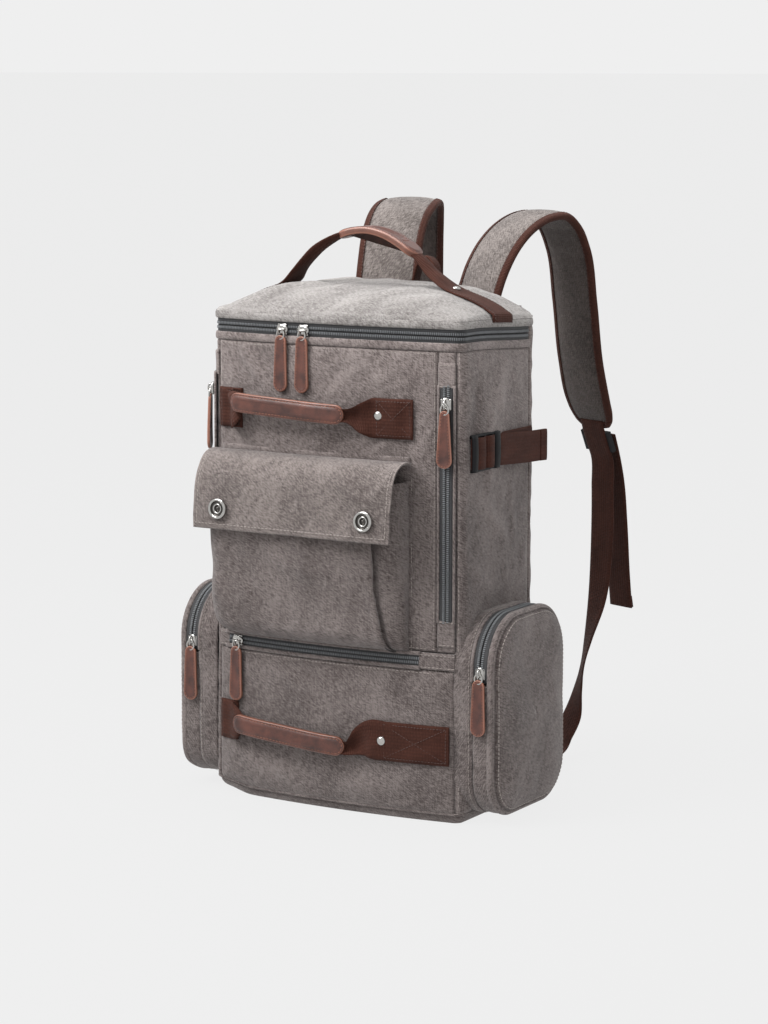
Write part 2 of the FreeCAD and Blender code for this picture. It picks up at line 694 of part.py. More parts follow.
def sketch_box(body, plane, name, wide, tall, middle):
    """A rectangle centred on the sketch's Y axis or beside it, with its sizes as constraints."""
    sketch = body.newObject("Sketcher::SketchObject", name)
    sketch.AttachmentSupport = [(plane, "")]
    sketch.MapMode = "FlatFace"
    x0, x1 = middle - wide / 2, middle + wide / 2
    y0, y1 = -tall / 2, tall / 2
    corners = [Vector(x0, y0, 0), Vector(x1, y0, 0), Vector(x1, y1, 0), Vector(x0, y1, 0)]
    for i in range(4):
        sketch.addGeometry(Part.LineSegment(corners[i], corners[(i + 1) % 4]), False)
    for i in range(4):
        sketch.addConstraint(Sketcher.Constraint("Coincident", i, 2, (i + 1) % 4, 1))
    for i in (0, 2):
        sketch.addConstraint(Sketcher.Constraint("Horizontal", i))
    for i in (1, 3):
        sketch.addConstraint(Sketcher.Constraint("Vertical", i))
    sketch.addConstraint(Sketcher.Constraint("DistanceX", -1, 1, 0, 1, x0))
    sketch.addConstraint(Sketcher.Constraint("DistanceX", 0, 1, 0, 2, wide))
    tall_number = sketch.addConstraint(Sketcher.Constraint("DistanceY", 1, 1, 1, 2, tall))
    sketch.renameConstraint(tall_number, "tall")
    low_number = sketch.addConstraint(Sketcher.Constraint("DistanceY", 0, 1, -1, 1, -y0))
    sketch.renameConstraint(low_number, "low")
    sketch.setExpression("Constraints.low", ".Constraints.tall / 2")
    return sketch


# ---------------------------------------------------------------- shoulder straps

def harness(distance, height, side=1):
    """A point of a shoulder strap's plane, by its distance behind the root and its height."""
    splay = math.radians(size("strap_splay"))
    return (side * (ROOT_X + distance * math.sin(splay)), ROOT_Y + distance * math.cos(splay), height)


def harness_edge(half, side=1):
    """The vector across a shoulder strap, to its outer edge."""
    splay = math.radians(size("strap_splay"))
    return (side * half * math.cos(splay), -half * math.sin(splay), 0)


def make_shoulder_strap(name, side):
    """Padded strap, the webbing below it, the ladder lock between them, and the free end."""
    half = size("strap_width") / 2
    root = [((side * 48, 94.5, 441), (side * 22, 0, 0)), ((side * 50, 101, 466), (side * 30, -6, 0))]
    line = [(0, 487), (12, 513), (27, 533.5), (49, 551), (73, 560), (92, 560), (106, 549), (118, 527),
            (128, 474), (137, 412), (150, 363), (158, 345)]
    stations = root + [(harness(*point, side), harness_edge(half, side)) for point in line[:-2]]
    stations.append((harness(*line[-2], side), harness_edge(half - 4, side)))
    stations.append((harness(*line[-1], side), harness_edge(half - 12, side)))
    soft("strap_pad_" + name, ribbon(stations, size("strap_thick")))
    web_half = size("lower_web") / 2
    fall = [(166.5, 315), (169, 280), (169, 225), (166, 141), (149, 80), (133, 43), (112, 24)]
    stations = [(harness(*point, side), harness_edge(web_half, side)) for point in fall]
    stations.append(((side * 98, 165, 17), (side * 15, -4, 0)))
    stations.append(((side * 104, 122, 17), (side * 13, 0, 0)))
    stations.append(((side * 106, 92, 27), (side * 9, 0, 0)))
    soft("strap_webbing_" + name, ribbon(stations, 2))
    lean = Rotation(Z_AXIS, -side * size("strap_splay"))
    upright = Rotation(Vector(0, 1, 0), 90)
    tilt = Rotation(X_AXIS, 22)
    place = Placement(Vector(*harness(165, 330, side)), lean.multiply(tilt).multiply(upright))
    keep(make_lock("StrapLock" + name, place, "Sizes.lower_web", 22), "strap_lock_" + name)
    tail = [(176, 322), (184, 290), (190, 240), (194, 190), (197, 162)]
    stations = [(harness(*point, side), harness_edge(web_half, side)) for point in tail]
    soft("strap_tail_" + name, ribbon(stations, 2))


def make_strap_ends():
    """Sewn roots of the shoulder straps and the tabs that hold their lower ends."""
    roots = []
    tabs = []
    for side in (1, -1):
        root = [((side * 46, 86.8, 380), (side * 24, 0, 0)), ((side * 47, 86.8, 427), (side * 24, 0, 0)),
                ((side * 48, 90.5, 437), (side * 22, 0, 0))]
        roots.append(ribbon(root, 3))
        tab = [((side * 100, HALF_DEPTH + 1.3, 14), (side * 18, 0, 0)),
               ((side * 104, HALF_DEPTH + 1.3, 32), (side * 10, 0, 0))]
        hook = [((side * 104, HALF_DEPTH + 2.5, 32), (side * 10, 0, 0)),
                ((side * 105, HALF_DEPTH + 14, 30), (side * 9, 0, 0))]
        tabs.append(ribbon(tab, 2.4).fuse(ribbon(hook, 2.4)).removeSplitter())
    soft("strap_roots", Part.makeCompound(roots))
    soft("strap_anchors", Part.makeCompound(tabs))


make_base()
make_walls()
make_inside()
make_lid()
make_lower_zip()
make_corner_zips()
make_sliders()
make_flap_pocket()
make_patches()
make_front_handle("upper_handle", size("upper_handle"), -101)
make_front_handle("lower_handle", size("lower_handle"), -101)
make_top_handle()
make_lid_bands()
make_hang_loop()
make_side_pockets()
make_compression_straps()
make_strap_ends()
for strap_name, strap_side in (("right", 1), ("left", -1)):
    make_shoulder_strap(strap_name, strap_side)

doc.recompute()
for obj in doc.Objects:
    if "Invalid" in obj.State or "Error" in obj.State:
        raise RuntimeError("%s failed: %s" % (obj.Name, obj.State))
for node in nodes:
    if node.Shape.isNull() or not node.Shape.isValid():
        raise RuntimeError("%s has no valid shape" % node.Label)
    if not node.Shape.Solids:
        raise RuntimeError("%s is not a solid" % node.Label)

os.makedirs("parts", exist_ok=True)
for node in nodes:
    node.Shape.exportStep("parts/%s.step" % node.Label)
    print("%-22s solids %d  volume %9.0f" % (node.Label, len(node.Shape.Solids), node.Shape.Volume))
print(len(nodes), "sub-parts")
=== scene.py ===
"""Looks of a canvas travel backpack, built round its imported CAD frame. Lengths are in millimetres until
a mesh is made; +X is to the right of the front, +Y towards the wearer, +Z up, and z = 0 is the floor."""

import math

import bmesh
import bpy
import numpy as np
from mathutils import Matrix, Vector


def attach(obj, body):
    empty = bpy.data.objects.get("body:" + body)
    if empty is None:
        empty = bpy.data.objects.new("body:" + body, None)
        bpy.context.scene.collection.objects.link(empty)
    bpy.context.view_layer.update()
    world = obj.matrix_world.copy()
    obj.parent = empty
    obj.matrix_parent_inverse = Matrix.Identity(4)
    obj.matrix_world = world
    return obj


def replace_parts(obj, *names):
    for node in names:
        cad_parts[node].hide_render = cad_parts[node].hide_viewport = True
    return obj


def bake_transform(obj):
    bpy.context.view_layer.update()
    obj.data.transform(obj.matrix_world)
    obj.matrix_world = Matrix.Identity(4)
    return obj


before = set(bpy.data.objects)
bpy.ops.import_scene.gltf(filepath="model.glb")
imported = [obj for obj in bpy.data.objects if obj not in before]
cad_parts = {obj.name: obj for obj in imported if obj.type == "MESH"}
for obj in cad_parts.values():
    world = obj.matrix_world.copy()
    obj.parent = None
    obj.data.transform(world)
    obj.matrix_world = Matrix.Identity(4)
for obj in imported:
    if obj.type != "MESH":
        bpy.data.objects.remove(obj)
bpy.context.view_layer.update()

MM = 0.001
TAU = 2 * math.pi
RIGHT = np.array([1.0, 0, 0])
REARWARD = np.array([0, 1.0, 0])
UP = np.array([0, 0, 1.0])

# ------------------------------------------------------------------ the body's driving sizes

HALF_WIDTH = 137.5
HALF_DEPTH = 75
CROWN = 9
SEAM_X = 128
REAR_RADIUS = 18
REAR_SEAM = 57
ZIP = 462
BASE = 10
RIM_LOW = 449
RIM_HIGH = 476
LOWER_SEAM = 158
BOW_RADIUS = (SEAM_X ** 2 + CROWN ** 2) / (2 * CROWN)
BOW_CENTRE = BOW_RADIUS - HALF_DEPTH - CROWN
BOW_ANGLE = math.asin(SEAM_X / BOW_RADIUS)
FRONT_RADIUS = (HALF_WIDTH - SEAM_X) / (1 - math.sin(BOW_ANGLE))
TURN_X = HALF_WIDTH - FRONT_RADIUS
TURN_Y = FRONT_RADIUS * math.cos(BOW_ANGLE) - HALF_DEPTH
U_CORNER = BOW_RADIUS * BOW_ANGLE
U_SIDE = U_CORNER + FRONT_RADIUS * (math.pi / 2 - BOW_ANGLE)
U_REAR = U_SIDE + REAR_SEAM - TURN_Y
U_BACK = U_REAR + REAR_RADIUS * math.pi / 2
U_HALF = U_BACK + HALF_WIDTH - REAR_RADIUS
RIGHT_ZIP = 122.5
LEFT_ZIP = -U_CORNER - FRONT_RADIUS * (math.radians(68) - BOW_ANGLE)
STRIP_HALF = 9.2
STRIP_EDGES = (RIGHT_ZIP - STRIP_HALF, RIGHT_ZIP + STRIP_HALF, LEFT_ZIP - STRIP_HALF, LEFT_ZIP + STRIP_HALF)
LOWER_HALF = 8
PANEL_LOW = BASE + 2
PANEL_THICK = 2.4
CORNER_ZIP_LOW = 195
CORNER_ZIP_HIGH = 417
TOOTH_PITCH = 1.9
TOOTH_OFFSET = 2.0
TOOTH_RISE = 0.55
TOOTH_LENGTH = 2.7
TOOTH_RADIUS = 0.62


# ------------------------------------------------------------------ small maths

def unit(v):
    """Vectors at length one."""
    return v / np.maximum(np.linalg.norm(v, axis=-1, keepdims=True), 1e-9)


def ease(t):
    """Smooth step from 0 to 1."""
    t = np.clip(t, 0, 1)
    return t * t * (3 - 2 * t)


def bell(t):
    """Smooth bump of height one at zero."""
    return np.exp(-t * t)


def ripple(u, v, size, seed):
    """Seeded soft unevenness of cloth, with features about size mm across, from about -1 to 1."""
    rng = np.random.default_rng(seed)
    total = np.zeros(np.broadcast(u, v).shape)
    for _ in range(7):
        angle = rng.uniform(0, TAU)
        wave = TAU / size * rng.uniform(0.55, 1.5)
        total += np.sin(wave * (u * math.cos(angle) + v * math.sin(angle)) + rng.uniform(0, TAU))
    return total / 3.2


def inset_of(u, v, u0, u1, v0, v1):
    """How far points lie inside the edges of a rectangle."""
    return np.minimum(np.minimum(u - u0, u1 - u), np.minimum(v - v0, v1 - v))


def crease(u, v, start, end, width, height):
    """Soft fold in cloth from start to end, in the cloth's own coordinates."""
    a = np.array(start, float)
    run = np.array(end, float) - a
    t = ((u - a[0]) * run[0] + (v - a[1]) * run[1]) / (run @ run)
    away = ((u - a[0]) * run[1] - (v - a[1]) * run[0]) / math.hypot(*run)
    away = away + 0.12 * math.hypot(*run) * (t - 0.5) ** 2
    fade = ease((t + 0.1) / 0.35) * ease((1.1 - t) / 0.35)
    return height * fade * bell(away / width)


def creases(u, v, folds):
    """Height of several soft folds, each given as for one crease."""
    return sum((crease(u, v, *fold) for fold in folds), np.zeros(np.shape(u)))


def curve(points, step=2.5):
    """Smooth line through points, sampled about every step mm; extra columns are carried along."""
    points = np.array(points, float)
    chord = np.linalg.norm(np.diff(points[:, :3], axis=0), axis=1)
    knots = np.concatenate([[0], np.cumsum(chord)])
    slope = np.gradient(points, knots, axis=0)
    t = np.linspace(0, knots[-1], max(int(knots[-1] / step), 2) + 1)
    i = np.clip(np.searchsorted(knots, t, side="right") - 1, 0, len(chord) - 1)
    h = chord[i][:, None]
    s = (t - knots[i])[:, None] / h
    start = (2 * s ** 3 - 3 * s ** 2 + 1) * points[i] + (s ** 3 - 2 * s ** 2 + s) * h * slope[i]
    return start + (3 * s ** 2 - 2 * s ** 3) * points[i + 1] + (s ** 3 - s ** 2) * h * slope[i + 1]


def lengths(line):
    """Distance along a line at each of its points."""
    return np.concatenate([[0], np.cumsum(np.linalg.norm(np.diff(line, axis=0), axis=1))])


def steady(direction, line):
    """One direction, for each point of a line."""
    return np.broadcast_to(direction, line.shape)


def grid_normals(grid):
    """Outward normals of a grid whose columns run right and rows run up, seen from outside."""
    return unit(np.cross(np.gradient(grid, axis=1), np.gradient(grid, axis=0)))


# ------------------------------------------------------------------ the body's outline

def plan(u, lift):
    """Point and normal of the body's outline, u mm round it from the middle of the front, lift mm proud."""
    u = (np.asarray(u, float) + U_HALF) % (2 * U_HALF) - U_HALF
    side = np.where(u < 0, -1.0, 1.0)
    s = np.abs(u)
    bow = s / BOW_RADIUS
    turn = BOW_ANGLE + (s - U_CORNER) / FRONT_RADIUS
    rear = (s - U_REAR) / REAR_RADIUS
    zones = [s < U_CORNER, s < U_SIDE, s < U_REAR, s < U_BACK]
    nx = np.select(zones, [np.sin(bow), np.sin(turn), 1.0, np.cos(rear)], 0.0)
    ny = np.select(zones, [-np.cos(bow), -np.cos(turn), 0.0, np.sin(rear)], 1.0)
    rear_x = HALF_WIDTH - REAR_RADIUS
    x = np.select(zones, [BOW_RADIUS * nx, TURN_X + FRONT_RADIUS * nx, HALF_WIDTH,
                          rear_x + REAR_RADIUS * nx], rear_x - (s - U_BACK))
    y = np.select(zones, [BOW_CENTRE + BOW_RADIUS * ny, TURN_Y + FRONT_RADIUS * ny,
                          TURN_Y + (s - U_SIDE), REAR_SEAM + REAR_RADIUS * ny], HALF_DEPTH)
    return side * (x + lift * nx), y + lift * ny, side * nx, ny


def settle(z):
    """How far the filled body stands out at a height: fuller below, drawn in towards the lid."""
    return 2.2 * ease((210 - z) / 170) - 0.4 * ease((z - 220) / 220) - 5 * ease((26 - z) / 26) ** 2


def droop(points):
    """How far points sink: at the top's right rear corner, and below 0 at the bottom's left front one."""
    x, y, z = points[..., 0], points[..., 1], points[..., 2]
    sink = 6 * ease((x - 20) / 115) * ease((y + 60) / 135) * ease((z - 410) / 40)
    return sink - 8 * ease((-x - 88) / 50) * ease((-y - 15) / 55) * ease((36 - z) / 36)


def skin(u, z, lift):
    """Points of the body's cloth surface and their outward normals."""
    u, z, lift = np.broadcast_arrays(np.asarray(u, float), np.asarray(z, float), np.asarray(lift, float))
    x, y, nx, ny = plan(u, lift + settle(z))
    return np.stack([x, y, z], -1), np.stack([nx, ny, np.zeros_like(nx)], -1)


# ------------------------------------------------------------------ meshes

class Piece:
    """Points, faces, cloth coordinates and wear, which also carries painted light and shade, of one piece in
    the making.
    """

    def __init__(self):
        self.points, self.faces, self.uv, self.wear, self.slots = [], [], [], [], []
        self.count = 0

    def add(self, points, faces, uv=None, wear=None, slot=0):
        """Adds points in mm with their faces; slot picks one of the piece's materials."""
        points = np.asarray(points, float).reshape(-1, 3)
        self.points.append(points)
        uv = points[:, [0, 2]] if uv is None else np.asarray(uv, float).reshape(-1, 2)
        self.uv.append(uv)
        self.wear.append(np.zeros(len(points)) if wear is None else np.asarray(wear, float).ravel())
        for face in faces:
            self.faces.append(tuple(int(i) + self.count for i in face))
        self.slots += [slot] * len(faces)
        self.count += len(points)
        return self

    def make(self, name, materials, body=None, replaces=(), slot=None):
        """The mesh object, in metres, riding on a body and standing for CAD nodes."""
        mesh = bpy.data.meshes.new(name)
        points = np.concatenate(self.points)
        if not (body or "").startswith(("shoulder", "strap")):
            points[:, 2] -= droop(points)
        mesh.from_pydata((points * MM).tolist(), [], self.faces)
        corner = np.empty(len(mesh.loops), int)
        mesh.loops.foreach_get("vertex_index", corner)
        uv = np.concatenate(self.uv)
        mesh.uv_layers.new(name="Cloth").data.foreach_set("uv", uv[corner].ravel().astype(np.float32))
        # The wear attribute also carries painted light: painted shade in seam grooves and sunken folds,
        # painted highlights on raised folds.
        wear = mesh.attributes.new("wear", "FLOAT", "POINT")
        wear.data.foreach_set("value", np.concatenate(self.wear).astype(np.float32))
        for material in materials if isinstance(materials, (list, tuple)) else [materials]:
            mesh.materials.append(material)
        mesh.polygons.foreach_set("material_index", self.slots)
        mesh.polygons.foreach_set("use_smooth", [True] * len(mesh.polygons))
        obj = bpy.data.objects.new(name, mesh)
        bpy.context.scene.collection.objects.link(obj)
        turn_outwards(mesh)
        if body:
            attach(obj, body)
        if replaces:
            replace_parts(obj, *replaces)
        return obj


def turn_outwards(mesh):
    """Makes every face of a closed mesh look out."""
    work = bmesh.new()
    work.from_mesh(mesh)
    bmesh.ops.recalc_face_normals(work, faces=work.faces)
    work.to_mesh(mesh)
    work.free()


def quads(a, b, c, d):
    """Faces from four arrays of point numbers."""
    return np.stack([a, b, c, d], -1).reshape(-1, 4)


def sheet_faces(rows, cols, wrap=False):
    """Faces of a closed sheet: an outer grid, an inner grid behind it, and the edges between them."""
    outer = np.arange(rows * cols).reshape(rows, cols)
    if wrap:
        outer = np.hstack([outer, outer[:, :1]])
    inner = outer + rows * cols
    faces = [quads(outer[:-1, :-1], outer[:-1, 1:], outer[1:, 1:], outer[1:, :-1])]
    faces.append(quads(inner[:-1, :-1], inner[1:, :-1], inner[1:, 1:], inner[:-1, 1:]))
    borders = [(outer[0], inner[0]), (outer[-1], inner[-1])]
    if not wrap:
        borders += [(outer[:, 0], inner[:, 0]), (outer[:, -1], inner[:, -1])]
    for a, b in borders:
        faces.append(quads(a[:-1], b[:-1], b[1:], a[1:]))
    return faces


def add_sheet(piece, outer, inner, uv, wear=None, wrap=False, inner_slot=0):
    """Adds a thick sheet of cloth between two grids of points."""
    rows, cols = outer.shape[:2]
    faces = sheet_faces(rows, cols, wrap)
    points = np.concatenate([outer.reshape(-1, 3), inner.reshape(-1, 3)])
    uv = np.concatenate([uv.reshape(-1, 2)] * 2)
    wear = np.zeros(rows * cols) if wear is None else wear.ravel()
    wear = np.concatenate([wear, wear * 0])
    base = piece.count
    piece.add(points, faces[0], uv, wear)
    for part in faces[1:]:
        slot = inner_slot if part is faces[1] else 0
        piece.faces += [tuple(int(i) + base for i in face) for face in part]
        piece.slots += [slot] * len(part)
    return piece


def add_loft(piece, rings, uv=None, wear=None, closed=False, slot=0):
    """Adds a closed skin over rings of points, with flat caps or joined end to end."""
    count, size = rings.shape[:2]
    index = np.arange(count * size).reshape(count, size)
    index = np.hstack([index, index[:, :1]])
    if closed:
        index = np.vstack([index, index[:1]])
    faces = quads(index[:-1, :-1], index[:-1, 1:], index[1:, 1:], index[1:, :-1]).tolist()
    if not closed:
        faces += [index[0, :-1][::-1].tolist(), index[-1, :-1].tolist()]
    return piece.add(rings, faces, uv, wear, slot)


def add_sweep(piece, line, across, normal, section, closed=False, wear=None):
    """Adds a section swept along a line; the section is (points, 2) or has one set for each station."""
    section = np.broadcast_to(section, (len(line),) + section.shape[-2:])
    rings = line[:, None] + section[..., :1] * across[:, None] + section[..., 1:] * normal[:, None]
    u = np.repeat(lengths(line)[:, None], rings.shape[1], 1)
    uv = np.stack([u, section[..., 0]], -1)
    if wear is not None:
        wear = np.broadcast_to(wear, rings.shape[:2])
    return add_loft(piece, rings, uv, wear, closed)


def web_section(half, thick, cup=0.0):
    """Flat section with soft edges; cup lifts the edges. Sizes may be one for each station."""
    half, thick, cup = (np.atleast_1d(np.asarray(v, float))[:, None] for v in (half, thick, cup))
    a = np.linspace(-1, 1, 11)[None]
    edge = thick / 2 * (1 - 0.55 * np.abs(a) ** 10)
    bend = cup * (a ** 2 - 0.4)
    top = np.stack([a * half, bend + edge], -1)
    low = np.stack([a * half, bend - edge], -1)[:, ::-1]
    return np.concatenate([top, low], 1)


def round_section(half, thick, count=14):
    """Rounded section, an oval of two half sizes."""
    angle = np.linspace(0, TAU, count, endpoint=False)
    wide = np.sign(np.cos(angle)) * np.abs(np.cos(angle)) ** 0.8
    high = np.sign(np.sin(angle)) * np.abs(np.sin(angle)) ** 0.8
    return np.stack([wide * half, high * thick], -1)


def directions(line, edge):
    """Across and normal directions of a strap along a line, from rough edge vectors."""
    along = unit(np.gradient(line, axis=0))
    across = unit(edge - along * np.sum(edge * along, -1, keepdims=True))
    return across, np.cross(along, across)


def add_strap(piece, stations, thick, step=2.5, cups=None):
    """Adds webbing through stations of (point, edge vector), and gives its line, sides and half width."""
    rows = [list(point) + list(edge) for point, edge in stations]
    cups = cups or [0] * len(rows)
    made = curve([row + [cup] for row, cup in zip(rows, cups)], step)
    line = made[:, :3]
    across, normal = directions(line, made[:, 3:6])
    half = np.linalg.norm(made[:, 3:6], axis=1)
    add_sweep(piece, line, across, normal, web_section(half, thick, made[:, 6]))
    return line, across, normal, half


def add_capsules(piece, centres, along, normal, length, radius, slot=0):
    """Adds many small round-ended rods: stitches, or the teeth of a zip."""
    centres = np.asarray(centres, float)
    if not len(centres):
        return
    along = unit(np.broadcast_to(along, centres.shape))
    normal = unit(np.broadcast_to(normal, centres.shape))
    side = np.cross(along, normal)
    angle = np.linspace(0, TAU, 6, endpoint=False)
    rings = []
    for place, swell in ((-1, 0.35), (-0.72, 0.9), (0, 1), (0.72, 0.9), (1, 0.35)):
        middle = centres + along * (place * length / 2)
        ring = middle[:, None] + radius * swell * (np.cos(angle)[None, :, None] * side[:, None]
                                                   + np.sin(angle)[None, :, None] * normal[:, None])
        rings.append(ring)
    points = np.stack(rings, 1)
    index = np.arange(30).reshape(5, 6)
    index = np.hstack([index, index[:, :1]])
    one = quads(index[:-1, :-1], index[:-1, 1:], index[1:, 1:], index[1:, :-1]).tolist()
    one += [index[0, :-1][::-1].tolist(), index[-1, :-1].tolist()]
    faces = [[i + 30 * n for i in face] for n in range(len(centres)) for face in one]
    piece.add(points, faces, slot=slot)


def at_lengths(places, far, values):
    """Values known at points a distance along a line, read at other distances."""
    return np.stack([np.interp(places, far, values[:, k]) for k in range(values.shape[1])], -1)


def add_stitches(piece, line, normal, pitch=4.0, length=2.9, radius=0.36, sink=0.05):
    """Adds a row of stitches along a line lying on cloth with these normals."""
    line = np.asarray(line, float)
    normal = np.broadcast_to(normal, line.shape)
    far = lengths(line)
    places = np.arange(pitch / 2, far[-1], pitch)
    along = at_lengths(places + 0.5, far, line) - at_lengths(places - 0.5, far, line)
    up = unit(at_lengths(places, far, normal))
    add_capsules(piece, at_lengths(places, far, line) - up * sink, along, up, length, radius)


def add_teeth(piece, line, across, normal, way, slot=0):
    """Adds one row of a zip's coil beside its centre line; way is the side it lies on."""
    far = lengths(line)
    places = np.arange(TOOTH_PITCH * (0.5 + 0.25 * way), far[-1], TOOTH_PITCH)
    side, up = at_lengths(places, far, across), at_lengths(places, far, normal)
    centres = at_lengths(places, far, line) + side * way * TOOTH_OFFSET + up * TOOTH_RISE
    add_capsules(piece, centres, side, up, TOOTH_LENGTH, TOOTH_RADIUS, slot)


def add_tube(piece, line, radius, sides=10, closed=False):
    """Adds a round wire or piping along a line."""
    line = np.asarray(line, float)
    along = np.gradient(line, axis=0)
    if closed:
        along = np.roll(line, -1, 0) - np.roll(line, 1, 0)
    along = unit(along)
    guide = np.array([0.31, 0.52, 0.79])
    side = np.empty_like(line)
    for i, direction in enumerate(along):
        guide = guide - direction * (guide @ direction)
        guide = guide / np.linalg.norm(guide)
        side[i] = guide
    section = round_section(radius, radius, sides)
    if closed:
        up = unit(np.broadcast_to(np.cross(along[0], along[len(along) // 4]), line.shape))
        side = np.cross(along, up)
    return add_sweep(piece, line, side, np.cross(along, side), section, closed)


def local(place, points):
    """Points in a place's own axes, as points of the pack; place is (origin, x, y, z directions)."""
    points = np.asarray(points, float)
    origin, x, y, z = (np.asarray(v, float) for v in place)
    return origin + points[..., :1] * x + points[..., 1:2] * y + points[..., 2:3] * z


def add_lathe(piece, place, profile, sides=40, slot=0):
    """Adds a turned shape: profile is (radius, height) pairs along the place's z direction."""
    angle = np.linspace(0, TAU, sides, endpoint=False)
    rings = [np.stack([r * np.cos(angle), r * np.sin(angle), np.full(sides, h)], -1) for r, h in profile]
    return add_loft(piece, local(place, np.stack(rings)), slot=slot)


# ------------------------------------------------------------------ materials

def srgb(*screen):
    """A screen colour, three numbers from 0 to 255, as the linear colour a shader takes."""
    linear = [((c / 255 + 0.055) / 1.055) ** 2.4 if c > 10 else c / 255 / 12.92 for c in screen]
    return tuple(linear) + (1.0,)


def wire(tree, shader, **inputs):
    """Sets or links a node's inputs, by name or as in3 for the fourth, to values or other nodes' outputs."""
    for key, value in inputs.items():
        numbered = key[:2] == "in" and key[2:].isdigit()
        socket = shader.inputs[int(key[2:]) if numbered else key.replace("_", " ")]
        if isinstance(value, bpy.types.NodeSocket):
            tree.links.new(value, socket)
        else:
            socket.default_value = value


def node(tree, kind, settings=None, **inputs):
    """A new shader node with its settings and inputs."""
    made = tree.nodes.new("ShaderNode" + kind)
    for key, value in (settings or {}).items():
        setattr(made, key, value)
    wire(tree, made, **inputs)
    return made


def maths(tree, operation, a, b=0.0, clamp=False):
    """One sum of two values."""
    return node(tree, "Math", {"operation": operation, "use_clamp": clamp}, in0=a, in1=b).outputs[0]


def blend_colour(tree, factor, a, b, kind="MIX"):
    """One colour blended over another."""
    made = node(tree, "Mix", {"data_type": "RGBA", "blend_type": kind}, in0=factor, in6=a, in7=b)
    return made.outputs[2]


def streaks(tree, place, angle, long, fine, detail=2.0):
    """Noise drawn out along one direction, as uneven thread is; sizes in mm."""
    turned = node(tree, "Mapping", {"vector_type": "TEXTURE"}, Vector=place,
                  Rotation=(0, 0, math.radians(angle)), Scale=(long, fine, 1))
    return node(tree, "TexNoise", Vector=turned.outputs[0], Scale=1.0, Detail=detail).outputs[0]


def threads(tree, place, direction, pitch, wander=1.0):
    """Even threads across one direction, a pitch in mm apart."""
    made = node(tree, "TexWave", {"bands_direction": direction}, Vector=place, Scale=TAU / 20 / pitch,
                Distortion=wander, Detail=1.0)
    return made.outputs["Fac"]


def weighted(tree, *pairs):
    """Sum of values, each less a half and times its weight."""
    total = None
    for value, weight in pairs:
        term = maths(tree, "MULTIPLY", maths(tree, "SUBTRACT", value, 0.5), weight)
        total = term if total is None else maths(tree, "ADD", total, term)
    return total


def texture(tree, place, scale, detail):
    """Plain noise on a place, at a scale and detail."""
    return node(tree, "TexNoise", Vector=place, Scale=scale, Detail=detail).outputs[0]


def worn_and_painted_light(tree):
    """The wear painted on a piece's points, together with painted shade in seam grooves and sunken folds and
    painted highlights on raised folds.
    """
    return node(tree, "Attribute", {"attribute_name": "wear"}).outputs["Fac"]


def relief(tree, strength, distance, height):
    """The normal of a surface with a height map; the distance is in metres."""
    return node(tree, "Bump", Strength=strength, Distance=distance, Height=height).outputs[0]


def tinted(colour, share):
    """A colour made paler or darker."""
    return tuple(min(1, c * share) for c in colour[:3]) + (1,)


def surface(name):
    """A new material: its tree and its Principled shader."""
    material = bpy.data.materials.new(name)
    material.use_nodes = True
    return material, material.node_tree, material.node_tree.nodes["Principled BSDF"]


def cloth_place(tree, solid):
    """Cloth coordinates in mm: along the cloth, or of the solid for a piece with none of its own."""
    coordinates = node(tree, "TexCoord")
    if not solid:
        return coordinates.outputs["UV"]
    return node(tree, "VectorMath", {"operation": "SCALE"}, in0=coordinates.outputs["Object"],
                Scale=1000.0).outputs[0]


def canvas(name, dark, light, painted_shade_low=(0.27, 0.4, 0.8)):
    """Washed cotton canvas: uneven yarn, a twill lean, faded patches, worn edges, folds painted lighter and
    darker as painted light, and painted shade low down. Below the first of its three shade numbers, a height
    in metres, it is painted darker by the third number, fading out up to its second height."""
    material, tree, shader = surface(name)
    place = cloth_place(tree, False)
    warp = streaks(tree, place, 90, 8, 0.8)
    weft = streaks(tree, place, 0, 6, 0.7)
    twill = streaks(tree, place, -34, 6, 0.9)
    mottle = streaks(tree, place, 20, 16, 9, 4)
    fade = streaks(tree, place, 70, 85, 48, 3)
    wear = worn_and_painted_light(tree)
    tone = weighted(tree, (warp, 1.6), (weft, 1.7), (twill, 2.4), (mottle, 0.45), (fade, 1.3))
    # Wear lightens the canvas on worn edges; the same attribute darkens seam grooves and sunken folds as
    # painted shade and lightens raised folds as painted highlight.
    tone = maths(tree, "ADD", maths(tree, "ADD", tone, 0.46), wear, clamp=True)
    colour = blend_colour(tree, tone, dark, light)
    # Painted shade: the canvas is painted darker towards the bottom, standing in for the lamps' light
    # falling off low down.
    height_up = node(tree, "SeparateXYZ", Vector=node(tree, "TexCoord").outputs["Object"]).outputs["Z"]
    painted_shade = node(tree, "MapRange", {"interpolation_type": "SMOOTHSTEP"}, Value=height_up,
                From_Min=painted_shade_low[0], From_Max=painted_shade_low[1], To_Min=painted_shade_low[2], To_Max=1.0).outputs[0]
    painted_shade_colour = node(tree, "CombineColor", in0=painted_shade, in1=painted_shade, in2=painted_shade).outputs[0]
    colour = blend_colour(tree, 1.0, colour, painted_shade_colour, "MULTIPLY")
    weave = maths(tree, "ADD", threads(tree, place, "X", 0.85), threads(tree, place, "Y", 0.85))
    height = weighted(tree, (weave, 0.25), (warp, 0.9), (weft, 0.9), (twill, 1.3), (mottle, 1.0))
    bump = relief(tree, 0.75, 0.0006, height)
    wire(tree, shader, Base_Color=colour, Normal=bump, Roughness=0.92, Sheen_Weight=0.22,
         Sheen_Roughness=0.45, Specular_IOR_Level=0.18)
    return material


